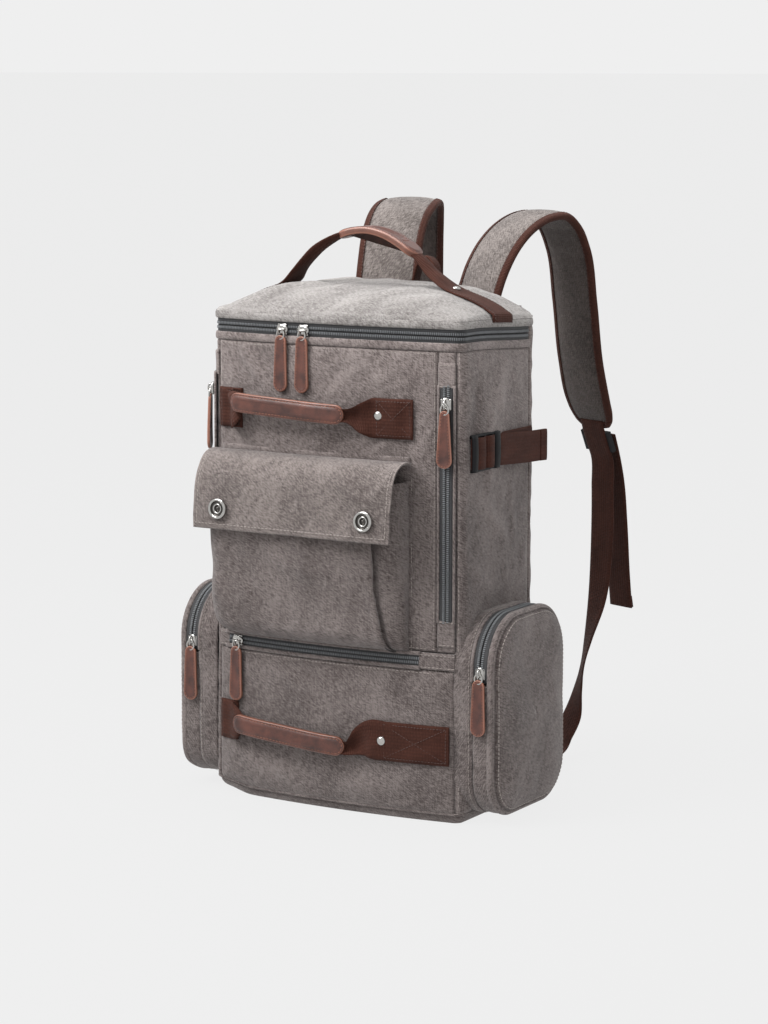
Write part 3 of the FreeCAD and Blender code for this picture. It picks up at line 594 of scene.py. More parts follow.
def webbing(name, dark, light):
    """Woven webbing: ribs across it in a herringbone, dusty at the edges."""
    material, tree, shader = surface(name)
    place = cloth_place(tree, False)
    ribs = threads(tree, place, "X", 1.5, 0.8)
    rows = threads(tree, place, "Y", 3.2, 0.4)
    yarn = streaks(tree, place, 90, 3.2, 0.7)
    patches = streaks(tree, place, 0, 30, 14, 3)
    wear = worn_and_painted_light(tree)
    tone = weighted(tree, (ribs, 0.16), (rows, 0.08), (yarn, 0.9), (patches, 0.8))
    tone = maths(tree, "ADD", maths(tree, "ADD", tone, 0.42), wear, clamp=True)
    height = weighted(tree, (ribs, 1.0), (rows, 0.5), (yarn, 0.8))
    bump = relief(tree, 0.8, 0.0005, height)
    wire(tree, shader, Base_Color=blend_colour(tree, tone, dark, light), Normal=bump,
         Roughness=0.8, Sheen_Weight=0.04, Sheen_Roughness=0.4, Specular_IOR_Level=0.16)
    return material


def leather(name, dark, light, raw):
    """Oiled leather: cloudy colour, fine grain, polished middle and paler cut edges."""
    material, tree, shader = surface(name)
    place = cloth_place(tree, True)
    clouds = texture(tree, place, 0.09, 4.0)
    grain = node(tree, "TexVoronoi", {"feature": "F1"}, Vector=place, Scale=1.5).outputs["Distance"]
    pores = texture(tree, place, 0.9, 5.0)
    wear = worn_and_painted_light(tree)
    tone = maths(tree, "ADD", weighted(tree, (clouds, 2.4), (pores, 0.6)), 0.5, clamp=True)
    colour = blend_colour(tree, wear, blend_colour(tree, tone, dark, light), raw)
    height = weighted(tree, (grain, 0.7), (pores, 1.2))
    bump = relief(tree, 0.35, 0.0004, height)
    rough = maths(tree, "ADD", maths(tree, "MULTIPLY", pores, 0.3), 0.26)
    wire(tree, shader, Base_Color=colour, Normal=bump, Roughness=rough, Coat_Weight=0.25,
         Coat_Roughness=0.3, Specular_IOR_Level=0.5)
    return material


def metal(name, colour, rough):
    """Plated metal with faint scratches and tarnish."""
    material, tree, shader = surface(name)
    place = cloth_place(tree, True)
    scratches = streaks(tree, place, 35, 6, 0.3)
    tarnish = texture(tree, place, 0.35, 3.0)
    tone = blend_colour(tree, maths(tree, "MULTIPLY", tarnish, 0.5), colour, (0.16, 0.15, 0.14, 1))
    uneven = maths(tree, "ADD", weighted(tree, (tarnish, 0.25), (scratches, 0.15)), rough)
    bump = relief(tree, 0.15, 0.0001, scratches)
    wire(tree, shader, Base_Color=tone, Metallic=1.0, Roughness=uneven, Normal=bump)
    return material


def plastic(name, colour):
    """Moulded plastic with a fine even texture."""
    material, tree, shader = surface(name)
    place = cloth_place(tree, True)
    fine = texture(tree, place, 2.2, 2.0)
    broad = texture(tree, place, 0.15, 2.0)
    bump = relief(tree, 0.2, 0.0002, fine)
    rough = maths(tree, "ADD", maths(tree, "MULTIPLY", broad, 0.25), 0.42)
    pale = blend_colour(tree, broad, colour, tinted(colour, 1.8))
    wire(tree, shader, Base_Color=pale, Roughness=rough, Normal=bump, Specular_IOR_Level=0.22)
    return material


def tape_cloth(name, colour, shine):
    """A fine ribbed weave, for zip tape, lining and thread."""
    material, tree, shader = surface(name)
    place = cloth_place(tree, False)
    ribs = threads(tree, place, "X", 1.1, 0.3)
    yarn = streaks(tree, place, 0, 8, 0.8)
    tone = maths(tree, "ADD", weighted(tree, (ribs, 0.4), (yarn, 1.2)), 0.5, clamp=True)
    pale = tinted(colour, 2.2)
    bump = relief(tree, 0.7, 0.0003, maths(tree, "ADD", ribs, yarn))
    wire(tree, shader, Base_Color=blend_colour(tree, tone, colour, pale), Normal=bump,
         Roughness=0.62, Sheen_Weight=shine)
    return material


def spacer_mesh(name, colour):
    """Padded spacer mesh: small round holes in a knitted face, the holes painted dark as painted shade."""
    material, tree, shader = surface(name)
    place = cloth_place(tree, True)
    cells = node(tree, "TexVoronoi", {"feature": "F1"}, Vector=place, Scale=0.32, Randomness=0.25)
    hole_depth_and_shade = maths(tree, "MULTIPLY", cells.outputs["Distance"], 1.5, clamp=True)
    yarn = texture(tree, place, 1.6, 3.0)
    # Painted shade: the holes are painted darker, as shade falls into them.
    dark = tinted(colour, 0.35)
    height = weighted(tree, (hole_depth_and_shade, 2.5), (yarn, 0.6))
    bump = relief(tree, 0.9, 0.0009, height)
    wire(tree, shader, Base_Color=blend_colour(tree, hole_depth_and_shade, dark, colour), Normal=bump,
         Roughness=0.85, Sheen_Weight=0.2)
    return material


CANVAS = canvas("washed_canvas", srgb(80, 71, 69), srgb(138, 128, 125))
# The flap's own copy of the canvas: its painted shade starts only below 0.1 m, so the flap, higher up, is
# left unshaded.
FLAP_CANVAS = canvas("flap_canvas", srgb(77, 69, 67), srgb(133, 124, 120), (0.0, 0.1, 0.9))
# Paler copy of the canvas for the lid and its rim: a painted highlight for the light falling on the top.
LID_CANVAS_PAINTED_LIGHT = canvas("lid_canvas", srgb(95, 90, 88), srgb(155, 151, 148))
PAD_CANVAS = canvas("strap_canvas", srgb(75, 68, 65), srgb(130, 122, 118))
# Darker copy of the strap canvas for the straps' inner face: painted shade on the side towards the wearer.
PAD_INNER_PAINTED_SHADE = canvas("strap_inner_painted_shade", srgb(58, 50, 47), srgb(92, 83, 79))
WEB = webbing("brown_webbing", srgb(42, 20, 14), srgb(82, 48, 38))
LEATHER = leather("oiled_leather", srgb(50, 22, 15), srgb(90, 48, 36), srgb(162, 110, 90))
NICKEL = metal("nickel", (0.56, 0.55, 0.53, 1), 0.16)
DARK_METAL = metal("tarnished_nickel", (0.07, 0.066, 0.062, 1), 0.35)
TAPE = tape_cloth("zip_tape", srgb(24, 24, 26), 0.05)
COIL = plastic("zip_coil", srgb(96, 98, 100))
PLASTIC = plastic("black_plastic", srgb(12, 12, 14))
MESH = spacer_mesh("spacer_mesh", srgb(70, 64, 62))
LINING = tape_cloth("lining", srgb(38, 35, 35), 0.1)
GREY_THREAD = tape_cloth("grey_thread", srgb(120, 112, 107), 0.3)
BROWN_THREAD = tape_cloth("brown_thread", srgb(50, 25, 18), 0.2)
TAN_THREAD = tape_cloth("tan_thread", srgb(110, 62, 42), 0.3)

grey_rows = {}


def stitch_rows(body):
    """The piece that gathers the grey stitches riding on one body."""
    return grey_rows.setdefault(body, Piece())


# ------------------------------------------------------------------ body panels

def spaced(low, high, step, fine=0.7):
    """Places from low to high, closer together at both ends, where a seam rolls the cloth under."""
    near = np.array([0, fine, 2 * fine, 3.2 * fine, 4.8 * fine, 7 * fine])
    middle = np.linspace(low + 9 * fine, high - 9 * fine, max(int((high - low) / step), 3))
    return np.concatenate([low + near, middle, high - near[::-1]])


walls = []


def panel_lift(u, z, box, puff, seed, folds):
    """How far a sewn panel's surface stands out within its four seams."""
    edge = inset_of(u, z, *box)
    inside = ease(edge / 16)
    lift = puff * (1 - np.exp(-edge / 13)) - 1.9 * bell(edge / 1.7)
    lift = lift + inside * (0.9 * ripple(u, z, 95, seed) + 0.45 * ripple(u, z, 38, seed + 1))
    lift = lift + 0.3 * ripple(u, z, 17, seed + 2) * ease(edge / 5)
    pucker = np.sin(u / 3.1 + 2 * ripple(u, z, 30, seed + 3)) * np.sin(z / 3.3 + ripple(u, z, 26, seed))
    lift = lift + 0.28 * pucker * bell((edge - 3.5) / 3.5)
    return np.where(edge > 0, lift + creases(u, z, folds), 0), edge


def wall(u, z, proud):
    """Points proud of the sewn panels' real surface, and their normals."""
    u, z = np.broadcast_arrays(np.asarray(u, float), np.asarray(z, float))
    lift = sum(panel_lift(u, z, *panel)[0] for panel in walls)
    return skin(u, z, lift + proud)


def panel_grid(box, puff, seed, folds=(), step=2.4):
    """Outer grid, normals, and wear with painted light and shade, of a sewn panel on the body between four
    seams.
    """
    u, z = np.meshgrid(spaced(box[0], box[1], step), spaced(box[2], box[3], step))
    lift, edge = panel_lift(u, z, box, puff, seed, folds)
    outer, normal = skin(u, z, np.where(edge > 0, lift, -1.9))
    # Paler on the worn edge beside each seam; darker in the seam's groove, painted shade; folds painted
    # lighter where they rise and darker where they sink, painted highlight and shade.
    wear = 0.22 * bell((edge - 2.4) / 1.1) - 0.25 * bell(edge / 1.0) + 0.13 * creases(u, z, folds)
    return outer, normal, np.stack([u, z], -1), wear


def body_panel(name, u0, u1, z0, z1, puff, seed, replaces=(), folds=()):
    """A sewn panel of lined canvas on the body."""
    walls.append(((u0, u1, z0, z1), puff, seed, folds))
    outer, normal, uv, wear = panel_grid(*walls[-1])
    piece = add_sheet(Piece(), outer, outer - normal * PANEL_THICK, uv, wear, inner_slot=1)
    piece.make(name, [CANVAS, LINING], "pack", replaces, "canvas")


def seam_stitches(u0, u1, z0, z1, lift=0.15):
    """A row of stitches on the body from one corner to another of the cloth."""
    count = max(int(math.hypot(u1 - u0, z1 - z0) / 2), 2)
    line, normal = skin(np.linspace(u0, u1, count), np.linspace(z0, z1, count), lift)
    add_stitches(stitch_rows("pack"), line, normal)


def make_panels():
    """Front, side, back and corner panels."""
    strip0, strip1, left0, left1 = STRIP_EDGES
    low, high = PANEL_LOW, RIM_LOW
    top = LOWER_SEAM + LOWER_HALF
    body_panel("front_upper", left1, strip0, top, high, 1.8, 3, ["front_panel_upper"],
               [((-105, 445), (-70, 405), 7, 1.6), ((-60, 440), (-88, 398), 5, -1.0),
                ((20, 446), (70, 410), 8, 1.3), ((90, 440), (78, 340), 6, -0.9),
                ((95, 330), (90, 230), 5, 0.9)])
    body_panel("front_lower", left1, strip1, low, LOWER_SEAM - LOWER_HALF, 4.0, 11, ["front_panel_lower"],
               [((-100, 44), (-30, 30), 8, 1.6), ((10, 28), (95, 44), 9, 1.4),
                ((-60, 128), (20, 118), 9, 1.2), ((60, 135), (110, 104), 7, -1.2)])
    body_panel("corner_strip_right", strip0, strip1, top, high, 0.2, 21)
    body_panel("corner_strip_left", left0, left1, low, high, 0.2, 23)
    body_panel("side_right", strip1, U_REAR, low, high, 2.6, 31, ["side_panel_right"],
               [((165, 430), (150, 350), 7, -1.8), ((186, 410), (180, 300), 9, 1.8),
                ((212, 440), (200, 380), 8, 1.5), ((150, 320), (215, 262), 9, 1.8),
                ((140, 250), (200, 215), 8, 1.4), ((225, 330), (232, 250), 7, 1.2)])
    body_panel("side_left", -U_REAR, left0, low, high, 2.6, 37, ["side_panel_left"],
               [((-186, 410), (-180, 300), 9, 1.8), ((-212, 440), (-200, 380), 8, -1.5),
                ((-170, 320), (-215, 262), 9, 1.8)])
    body_panel("back", U_REAR, 2 * U_HALF - U_REAR, low, RIM_HIGH - 1, 1.0, 41, ["back_panel"],
               [((300, 450), (340, 420), 7, 1.0)])


def stitch_seams():
    """Top stitching on the panels, beside their seams."""
    strip0, strip1, left0, left1 = STRIP_EDGES
    low, high = PANEL_LOW, RIM_LOW
    seam_stitches(strip0 - 3, strip0 - 3, LOWER_SEAM + LOWER_HALF + 4, high - 3)
    for u in (strip1 + 3, left1 + 3, left0 - 3, U_REAR - 3, -U_REAR + 3):
        seam_stitches(u, u, low + 4, high - 3)
    for u in (U_REAR + 4, -U_REAR - 4):
        seam_stitches(u, u, low + 4, RIM_HIGH - 6)
    for u0, u1 in ((left1 + 3, strip0 - 3), (strip1 + 3, U_REAR - 3), (-U_REAR + 3, left0 - 3)):
        seam_stitches(u0, u1, high - 3.2, high - 3.2)
    seam_stitches(left1 + 3, strip1 - 3, low + 4, low + 4)


def ring_grid(shares, cols):
    """Rings of the body's outline that shrink towards its middle, as x and y."""
    u = np.linspace(-U_HALF, U_HALF, cols, endpoint=False)
    x, y, _, _ = plan(u, 0)
    share = np.asarray(shares, float)[:, None]
    return x[None] * share, -4 + (y[None] + 4) * share


def make_base():
    """Bottom panel with a rounded edge."""
    u = np.linspace(-U_HALF, U_HALF, 320, endpoint=False)
    rolls = [(PANEL_LOW, -0.7), (9, -1.1), (6, -2.1), (3.4, -4), (1.4, -7.2), (0.3, -11.7), (0, -17)]
    edge = [plan(u, lift)[:2] for _, lift in rolls]
    shares = [0.85, 0.65, 0.4, 0.2, 0.0005]
    edge += [(edge[-1][0] * share, edge[-1][1] * share) for share in shares]
    heights = [height for height, _ in rolls] + [0] * len(shares)
    x, y = np.array([x for x, _ in edge]), np.array([y for _, y in edge])
    z = np.broadcast_to(np.array(heights, float)[:, None], x.shape)
    outer = np.stack([x, y, z], -1)
    uv = np.stack([x - y, y + 2 * z], -1)
    inner = outer + np.array([0, 0, 2.2])
    inner[:4, :, :2] *= 0.985
    piece = add_sheet(Piece(), outer, inner, uv, wrap=True, inner_slot=1)
    piece.make("bottom_panel", [CANVAS, LINING], "pack", ["base_panel"], "canvas")


def make_bottom_welt():
    """Piping in the seam above the bottom panel."""
    welt = Piece()
    u = np.linspace(-U_HALF, U_HALF, 400, endpoint=False)
    line, normal = skin(u, BASE + 3, -0.3)
    add_sweep(welt, line, steady(UP, line), normal, round_section(1.4, 1.2, 10), closed=True)
    welt.make("bottom_welt", CANVAS, "pack", slot="canvas")


def lid_height(x, y):
    """Height of the lid: it slopes up from its side and front edges and falls short at the back."""
    side = np.clip((HALF_WIDTH - np.abs(x)) / 92, 0, 1)
    front = np.clip((y + HALF_DEPTH + CROWN * (1 - (x / SEAM_X) ** 2)) / 62, 0, 1)
    rear = np.clip((HALF_DEPTH - y) / 22, 0, 1)
    swell = (1 - (1 - side) ** 2.2) * (1 - (1 - front) ** 2.0) * (1 - (1 - rear) ** 2.4)
    return RIM_HIGH + 0.5 + 23.5 * swell ** 0.8


LID_FOLDS = [((-112, -64), (-40, -10), 10, 2.4), ((-60, -76), (-5, -24), 9, 2.2),
             ((0, -78), (60, -34), 8, 1.8), ((50, -72), (105, -35), 9, 1.9),
             ((-86, -72), (-66, -52), 6, -1.4), ((80, 20), (110, 60), 9, 1.6),
             ((-90, 30), (-50, 64), 10, 1.6), ((20, -70), (34, -40), 5, -1.2)]


def make_lid():
    """Domed lid of softer canvas, painted paler as a painted highlight from the light above, with its seam
    and the rolled rim below it.
    """
    shares = np.concatenate([[1.0, 1.004, 1.002, 0.998, 0.993, 0.987], np.linspace(0.98, 0.9, 14),
                             np.linspace(0.885, 0.0005, 44)])
    x, y = ring_grid(shares, 380)
    inward = np.repeat(1 - shares[:, None], x.shape[1], 1)
    z = lid_height(x, y) + 1.6 * ease(inward / 0.02) - 1.0 * bell(inward / 0.004)
    soft = ease(inward / 0.06)
    z = z + soft * (0.9 * ripple(x, y, 120, 61) + 0.5 * ripple(x, y, 46, 62))
    folded = creases(x, y, LID_FOLDS)
    pucker = np.sin((x + y) / 4 + 2 * ripple(x, y, 40, 5)) * bell((inward - 0.05) / 0.03)
    z = z + folded * soft + 0.35 * pucker
    outer = np.stack([x, y, z], -1)
    inner = outer - np.array([0, 0, 2.4])
    inner[..., :2] *= 0.985
    inner[:3, :, 2] = outer[:3, :, 2]
    # Paler on the worn band near the edge; folds painted lighter where they rise and darker where they sink,
    # painted highlight and shade.
    wear = 0.3 * bell((inward - 0.012) / 0.012) + 0.12 * folded * soft
    piece = add_sheet(Piece(), outer, inner, np.stack([x, y + z], -1), wear, wrap=True, inner_slot=1)
    piece.make("lid_top", [LID_CANVAS_PAINTED_LIGHT, LINING], "lid", ["lid_panel"], "lid_canvas")


def round_body(u0, u1, step):
    """Places round the body from one to another, about a step apart."""
    return np.linspace(u0, u1, max(int(abs(u1 - u0) / step), 3))


def body_run(u0, u1, z, lift, step=2.4):
    """A line round the body at one height, with its up and outward directions."""
    line, normal = skin(round_body(u0, u1, step), z, lift)
    return line, steady(UP, line), normal


def level_run(u0, u1, z, lift, step=2.4):
    """The same on the plain outline, where the lid and the main zip run."""
    u = round_body(u0, u1, step)
    x, y, nx, ny = plan(u, lift)
    line = np.stack([x, y, np.full_like(x, z)], -1)
    return line, steady(UP, line), np.stack([nx, ny, 0 * nx], -1)


def make_main_zip():
    """Zip between body and lid: tape and coil of each half, and the rolled canvas rims."""
    end = U_REAR - 0.5
    for name, body, way, rim, node_name in (("body", "pack", -1, 452.2, "main_zip_body"),
                                            ("lid", "lid", 1, 472.4, "main_zip_lid")):
        tape = Piece()
        line, up, out = level_run(-end, end, ZIP + way * 4.1, -1.9)
        add_sweep(tape, line, up, out, web_section(3.9, 1.2))
        line, up, out = level_run(-end, end, ZIP + way * 0.2, -1.5, 1.6)
        add_teeth(tape, line, up, out, way, slot=1)
        tape.make("main_zip_" + name, [TAPE, COIL], body, [node_name], "zip")
        rims = Piece()
        stop = U_BACK + 6 if way > 0 else end
        line, up, out = level_run(-stop, stop, rim, -1.0)
        along = lengths(line)
        roll = 0.25 * np.sin(along / 11) + 0.3 * np.sin(along / 27 + 1)
        section = np.stack([round_section(3.9, 2.1 + 0.2 * r, 14) for r in roll])
        add_sweep(rims, line, up, out, section, wear=0.12)
        # The lid's rim takes the paler lid canvas, a painted highlight.
        rims.make("rim_" + name, LID_CANVAS_PAINTED_LIGHT if way > 0 else CANVAS, body, slot="canvas")


# ------------------------------------------------------------------ zips on the walls

def zip_rows(piece, line, across, normal, tape_half=5.6):
    """Tape with both rows of coil along a closed zip: slot 0 is the tape, slot 1 the coil."""
    add_sweep(piece, line, across, normal, web_section(tape_half, 1.1))
    for way in (-1, 1):
        add_teeth(piece, line + normal * 0.4, across, normal, way, slot=1)


def welts(piece, line, across, normal, gap, half=1.9, rise=1.4):
    """Folded canvas edges along both sides of a zip."""
    for way in (-1, 1):
        add_sweep(piece, line + across * way * gap, across, normal, round_section(half, rise, 12), wear=0.1)


def garage(piece, u0, u1, z0, z1, lift=1.6):
    """Folded canvas patch over the end of a zip."""
    outer_u, outer_z = np.meshgrid(spaced(u0, u1, 3, 0.35), spaced(z0, z1, 3, 0.35))
    edge = inset_of(outer_u, outer_z, u0, u1, z0, z1)
    bulge = lift - 0.9 * bell(edge / 0.7) + 0.25 * ripple(outer_u, outer_z, 14, int(abs(u0) + z0))
    outer, normal = skin(outer_u, outer_z, bulge)
    wear = 0.2 * bell((edge - 1) / 0.7)
    add_sheet(piece, outer, outer - normal * 1.8, np.stack([outer_u, outer_z], -1), wear)
    for z in (z0 + 2.2, z1 - 2.2):
        row, out = skin(np.linspace(u0 + 1.5, u1 - 1.5, 8), z, lift + 0.1)
        add_stitches(stitch_rows("pack"), row, out)


def make_lower_zip(folds):
    """Zip across the front."""
    row = Piece()
    line, up, out = body_run(-118, 96, LOWER_SEAM, 0.9, 1.6)
    zip_rows(row, line, up, out)
    line, up, out = body_run(-122, 97, LOWER_SEAM, 1.3)
    welts(folds, line, up, out, 6.9, 2.0, 1.6)
    garage(folds, 95, STRIP_EDGES[1], LOWER_SEAM - LOWER_HALF, LOWER_SEAM + LOWER_HALF)
    garage(folds, STRIP_EDGES[3], -118, LOWER_SEAM - LOWER_HALF, LOWER_SEAM + LOWER_HALF, 1.2)
    row.make("lower_zip_row", [TAPE, COIL], "pack", ["lower_zip"], "zip")
    for z in (LOWER_SEAM - 11.5, LOWER_SEAM + 11.5):
        seam_stitches(-116, STRIP_EDGES[0], z, z, 0.9 if z < LOWER_SEAM else 0.5)


def make_corner_zips(folds):
    """Upright zips at the two corners."""
    for name, u in (("right", RIGHT_ZIP), ("left", LEFT_ZIP)):
        z = np.linspace(CORNER_ZIP_LOW, CORNER_ZIP_HIGH, 140)
        line, out = skin(u, z, 0.7)
        across = np.cross(steady(UP, out), out)
        row = Piece()
        zip_rows(row, line, across, out, 6.4)
        replaces = ["corner_zips"] if name == "right" else ()
        row.make("corner_zip_" + name, [TAPE, COIL], "pack", replaces, "zip")
        welts(folds, line, across, out, 7.9, 1.3, 1.2)
        for low, high in ((CORNER_ZIP_HIGH - 3, 438), (172, CORNER_ZIP_LOW + 3)):
            garage(folds, u - STRIP_HALF + 0.7, u + STRIP_HALF - 0.7, low, high, 1.4)


def make_wall_zips():
    """Zips of the front and corners, with the canvas folds beside and over them."""
    folds = Piece()
    make_lower_zip(folds)
    make_corner_zips(folds)
    folds.make("zip_welts", CANVAS, "pack", slot="canvas")


# ------------------------------------------------------------------ flap pocket

POCKET_LEFT = -118
POCKET_FOLD = 63
POCKET_RIGHT = 84
POCKET_LOW = 166
POCKET_HIGH = 326
POCKET_COLS = 130
POCKET_FOLDS = [((-60, 250), (10, 232), 8, 1.4), ((-95, 190), (-70, 215), 7, 1.5),
                ((-10, 178), (45, 186), 7, 1.3), ((20, 300), (50, 240), 7, -1.0),
                ((-30, 172), (-8, 200), 5, 1.2)]


def wall_y(x):
    """Front surface of the body at x."""
    return BOW_CENTRE - np.sqrt(BOW_RADIUS ** 2 - np.minimum(np.abs(x), SEAM_X) ** 2)


def pocket_row(z):
    """The pocket's cloth at one height: (x, y) points from left to right, and the distance at each."""
    front = -107 - 9.5 * ease((z - POCKET_LOW) / 150)
    belly = math.sqrt(1 - (1 - np.clip((z - POCKET_LOW) / 17, 0, 1)) ** 2)
    sunk = np.clip((POCKET_LOW + 26 - z) / 26, 0, 1)
    left = POCKET_LEFT + 24 * (1 - math.sqrt(1 - sunk ** 2))
    pleat = 1 - 0.55 * ease((POCKET_LOW + 30 - z) / 30)
    fold = POCKET_FOLD + 11 * ease((250 - z) / 90) ** 2
    path = [(POCKET_LEFT - 0.5, wall_y(POCKET_LEFT) + 2), (POCKET_LEFT - 1.5, -86), (left - 1.5, -98),
            (left + 0.5, front + 3.5), (left + 5, front), (left + 30, front - 1.5), (-40, front - 2.2),
            (20, front - 1.8), (fold - 10, front - 0.6), (fold - 2, front + 0.2), (fold, front + 2.2),
            (fold - 6 * pleat, front + 5), (fold - 4 * pleat, front + 7.5), (fold + 4, front + 7),
            (POCKET_RIGHT - 5, front + 11), (POCKET_RIGHT, -92),
            (POCKET_RIGHT + 1.5, wall_y(POCKET_RIGHT) + 2)]
    made = curve([(x, y, 0) for x, y in path], 0.5)
    far = lengths(made)
    places = np.linspace(0, far[-1], POCKET_COLS)
    row = at_lengths(places, far, made[:, :2])
    behind = wall_y(row[:, 0]) + 1
    row[:, 1] = behind - (behind - row[:, 1]) * (0.12 + 0.88 * belly)
    return row, places


def make_flap_pocket():
    """Pocket sewn on the front: a full front, a gusset round its left and a deep pleat at its right."""
    z = spaced(POCKET_LOW, POCKET_HIGH, 2.6, 0.8)
    made = [pocket_row(level) for level in z]
    rows = np.array([row for row, _ in made])
    across = np.array([places for _, places in made])
    height = np.repeat(z[:, None], POCKET_COLS, 1)
    outer = np.stack([rows[..., 0], rows[..., 1], height], -1)
    fade = ease((height - POCKET_LOW) / 16) * ease(across / 12) * ease((across[:, -1:] - across) / 12)
    push = 1.0 * ripple(rows[..., 0], height, 80, 71) + 0.5 * ripple(rows[..., 0], height, 34, 72)
    push = push + creases(rows[..., 0], height, POCKET_FOLDS)
    outer = outer + grid_normals(outer) * (push * fade)[..., None]
    normal = grid_normals(outer)
    # Painted shade: the pocket's bottom seam against the wall is painted darker; the pleat's fold edge is
    # paler with wear.
    bottom = bell((height - POCKET_LOW - 1.5) / 1.5)
    edge = bell((rows[..., 0] - POCKET_FOLD) / 2.2) * (outer[..., 1] < -100)
    piece = add_sheet(Piece(), outer, outer - normal * 2.2, np.stack([across, height], -1),
                      0.2 * edge - 0.15 * bottom, inner_slot=1)
    piece.make("flap_pocket", [CANVAS, LINING], "pack", ["pocket_body"], "canvas")
    hem = int(np.argmin(np.abs(z - POCKET_HIGH + 6)))
    add_stitches(stitch_rows("pack"), outer[hem, 20:100] + normal[hem, 20:100] * 0.15, normal[hem, 20:100])
    for u in (POCKET_RIGHT + 4.0, POCKET_LEFT - 4.0):
        seam, out = skin(np.full(60, u), np.linspace(165, 330, 60), 1.7)
        add_stitches(stitch_rows("pack"), seam, out)


FLAP_LINE = [(-85.5, 343.6), (-91, 345.2), (-97, 345.2), (-104, 343.8), (-111.5, 339.6), (-117.5, 332.5),
             (-121, 324), (-122.6, 314), (-123.8, 297.5), (-125.4, 272.6)]
FLAP_LEFT = -128
FLAP_RIGHT = 89
HEM = 4.2
FREE = 1000
FLAP_FOLDS = [((-100, 40), (-60, 66), 8, 1.3), ((20, 34), (66, 62), 8, 1.4), ((-30, 50), (10, 90), 7, -0.9),
              ((60, 70), (84, 40), 5, 1.0), ((-122, 60), (-110, 95), 5, 1.0)]


def flap_grid():
    """Outer grid of the flap, hem first, with its normals, cloth coordinates and distance to its edge."""
    line = curve([(0, y, z) for y, z in FLAP_LINE], 1.6)
    far = lengths(line)[::-1]
    line = line[::-1]
    x = spaced(FLAP_LEFT, FLAP_RIGHT, 2.6, 0.6)
    xs, drop = np.meshgrid(x, far)
    outer = np.stack([xs, xs * 0 + line[:, 1:2], xs * 0 + line[:, 2:3]], -1)
    hang = ease((drop - 30) / 50)
    push = 0.8 * ripple(xs, drop, 75, 81) * hang + 0.45 * ripple(xs, drop, 28, 83) * ease(drop / 20)
    push = push + 1.2 * hang * np.sin((xs + 20) / 60) * ease((drop - 60) / 50)
    push = push + creases(xs, drop, FLAP_FOLDS)
    edge = inset_of(xs, drop, FLAP_LEFT, FLAP_RIGHT, -FREE, far[0])
    push = push + 0.35 * bell((edge - HEM) / 3) - 0.25 * bell((edge - HEM) / 0.7)
    outer = outer + grid_normals(outer) * push[..., None]
    outer[..., 1] += (wall_y(xs) + 84) * 0.5 * (1 - hang)
    return outer, grid_normals(outer), xs, drop, edge


def make_flap():
    """Flap that folds over the pocket, with a stitched hem."""
    outer, normal, xs, drop, edge = flap_grid()
    wear = 0.3 * bell((edge - 0.6) / 1.0) + 0.12 * bell((drop - 24) / 8)
    thick = 2.8 - 1.2 * bell(edge / 0.8)
    piece = add_sheet(Piece(), outer, outer - normal * thick[..., None], np.stack([xs, -drop], -1), wear)
    flap = piece.make("flap", FLAP_CANVAS, None, ["pocket_flap"], "canvas")
    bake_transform(flap)
    rows = Piece()
    hem = int(np.argmin(np.abs(drop[0, 0] - drop[:, 0] - HEM)))
    add_stitches(rows, outer[hem, 3:-3] + normal[hem, 3:-3] * 0.1, normal[hem, 3:-3])
    for stand in (xs[0] - FLAP_LEFT, FLAP_RIGHT - xs[0]):
        col = int(np.argmin(np.abs(stand - HEM)))
        add_stitches(rows, outer[hem:-16, col] + normal[hem:-16, col] * 0.1, normal[hem:-16, col])
    rows.make("flap_stitches", GREY_THREAD, "pocket_flap", slot="canvas")


def make_flap_seam():
    """Rolled seam that holds the flap on the front."""
    binding = Piece()
    line, up, out = level_run(-124, 86, 345.5, 0.9)
    add_sweep(binding, line, up, out, round_section(3.4, 1.5, 12), wear=0.1)
    binding.make("flap_seam", CANVAS, "pack", slot="canvas")


def make_snaps():
    """Ring snaps on the flap: a bright rolled ring round a dark socket with a small post."""
    caps = Piece()
    lean = math.radians(86.4)
    out = np.array([0, -math.sin(lean), math.cos(lean)])
    up = np.array([0, math.cos(lean), math.sin(lean)])
    ring = [(8.6, -0.6), (9.9, -0.4), (10.0, 0.6), (9.7, 1.6), (9.0, 2.3), (8.2, 2.5), (7.5, 2.1),
            (7.1, 1.4), (7.0, 0.5), (7.0, -0.6)]
    well = [(7.4, -0.8), (7.3, 0.15), (5.2, 0.1), (4.9, -0.2), (4.6, -0.8)]
    inner = [(4.7, -0.8), (4.9, 0.5), (4.4, 1.05), (3.7, 0.9), (3.3, 0.1), (3.2, -0.8)]
    core = [(3.5, -0.9), (3.3, -0.3), (1.7, -0.3), (1.6, 0.4), (1.1, 0.9), (0.2, 1.0)]
    for x in (-99, 62):
        place = (np.array([x, -126.0, 292.5]), RIGHT, up, out)
        for profile, sides, slot in ((ring, 40, 0), (well, 40, 1), (inner, 40, 0), (core, 24, 1)):
            add_lathe(caps, place, profile, sides, slot)
    caps.make("snap_rings", [NICKEL, DARK_METAL], "pocket_flap", ["snap_caps"], "metal")


# ------------------------------------------------------------------ side pockets

POCKET_FRONT = -75
POCKET_BACK = 65
POCKET_TOP = 202
POCKET_FOOT = 12
ARCH = 49
FOOT = 38
ARCH_Z = POCKET_TOP - ARCH
TRAVEL = 60
ZIP_FOOT = POCKET_TOP - TRAVEL
ZIP_X = 158.0
RING_STEP = 2.2
FACE_X = 169.5
FACE_FOLDS = [((-52, 104), (20, 96), 10, 1.3), ((-40, 60), (0, 34), 11, 1.4), ((20, 150), (45, 90), 9, 1.2),
              ((-20, 176), (-48, 120), 9, -0.8)]


def fullness(side):
    """How much further the left side pocket is stuffed than the right one."""
    return 6 if side < 0 else 0


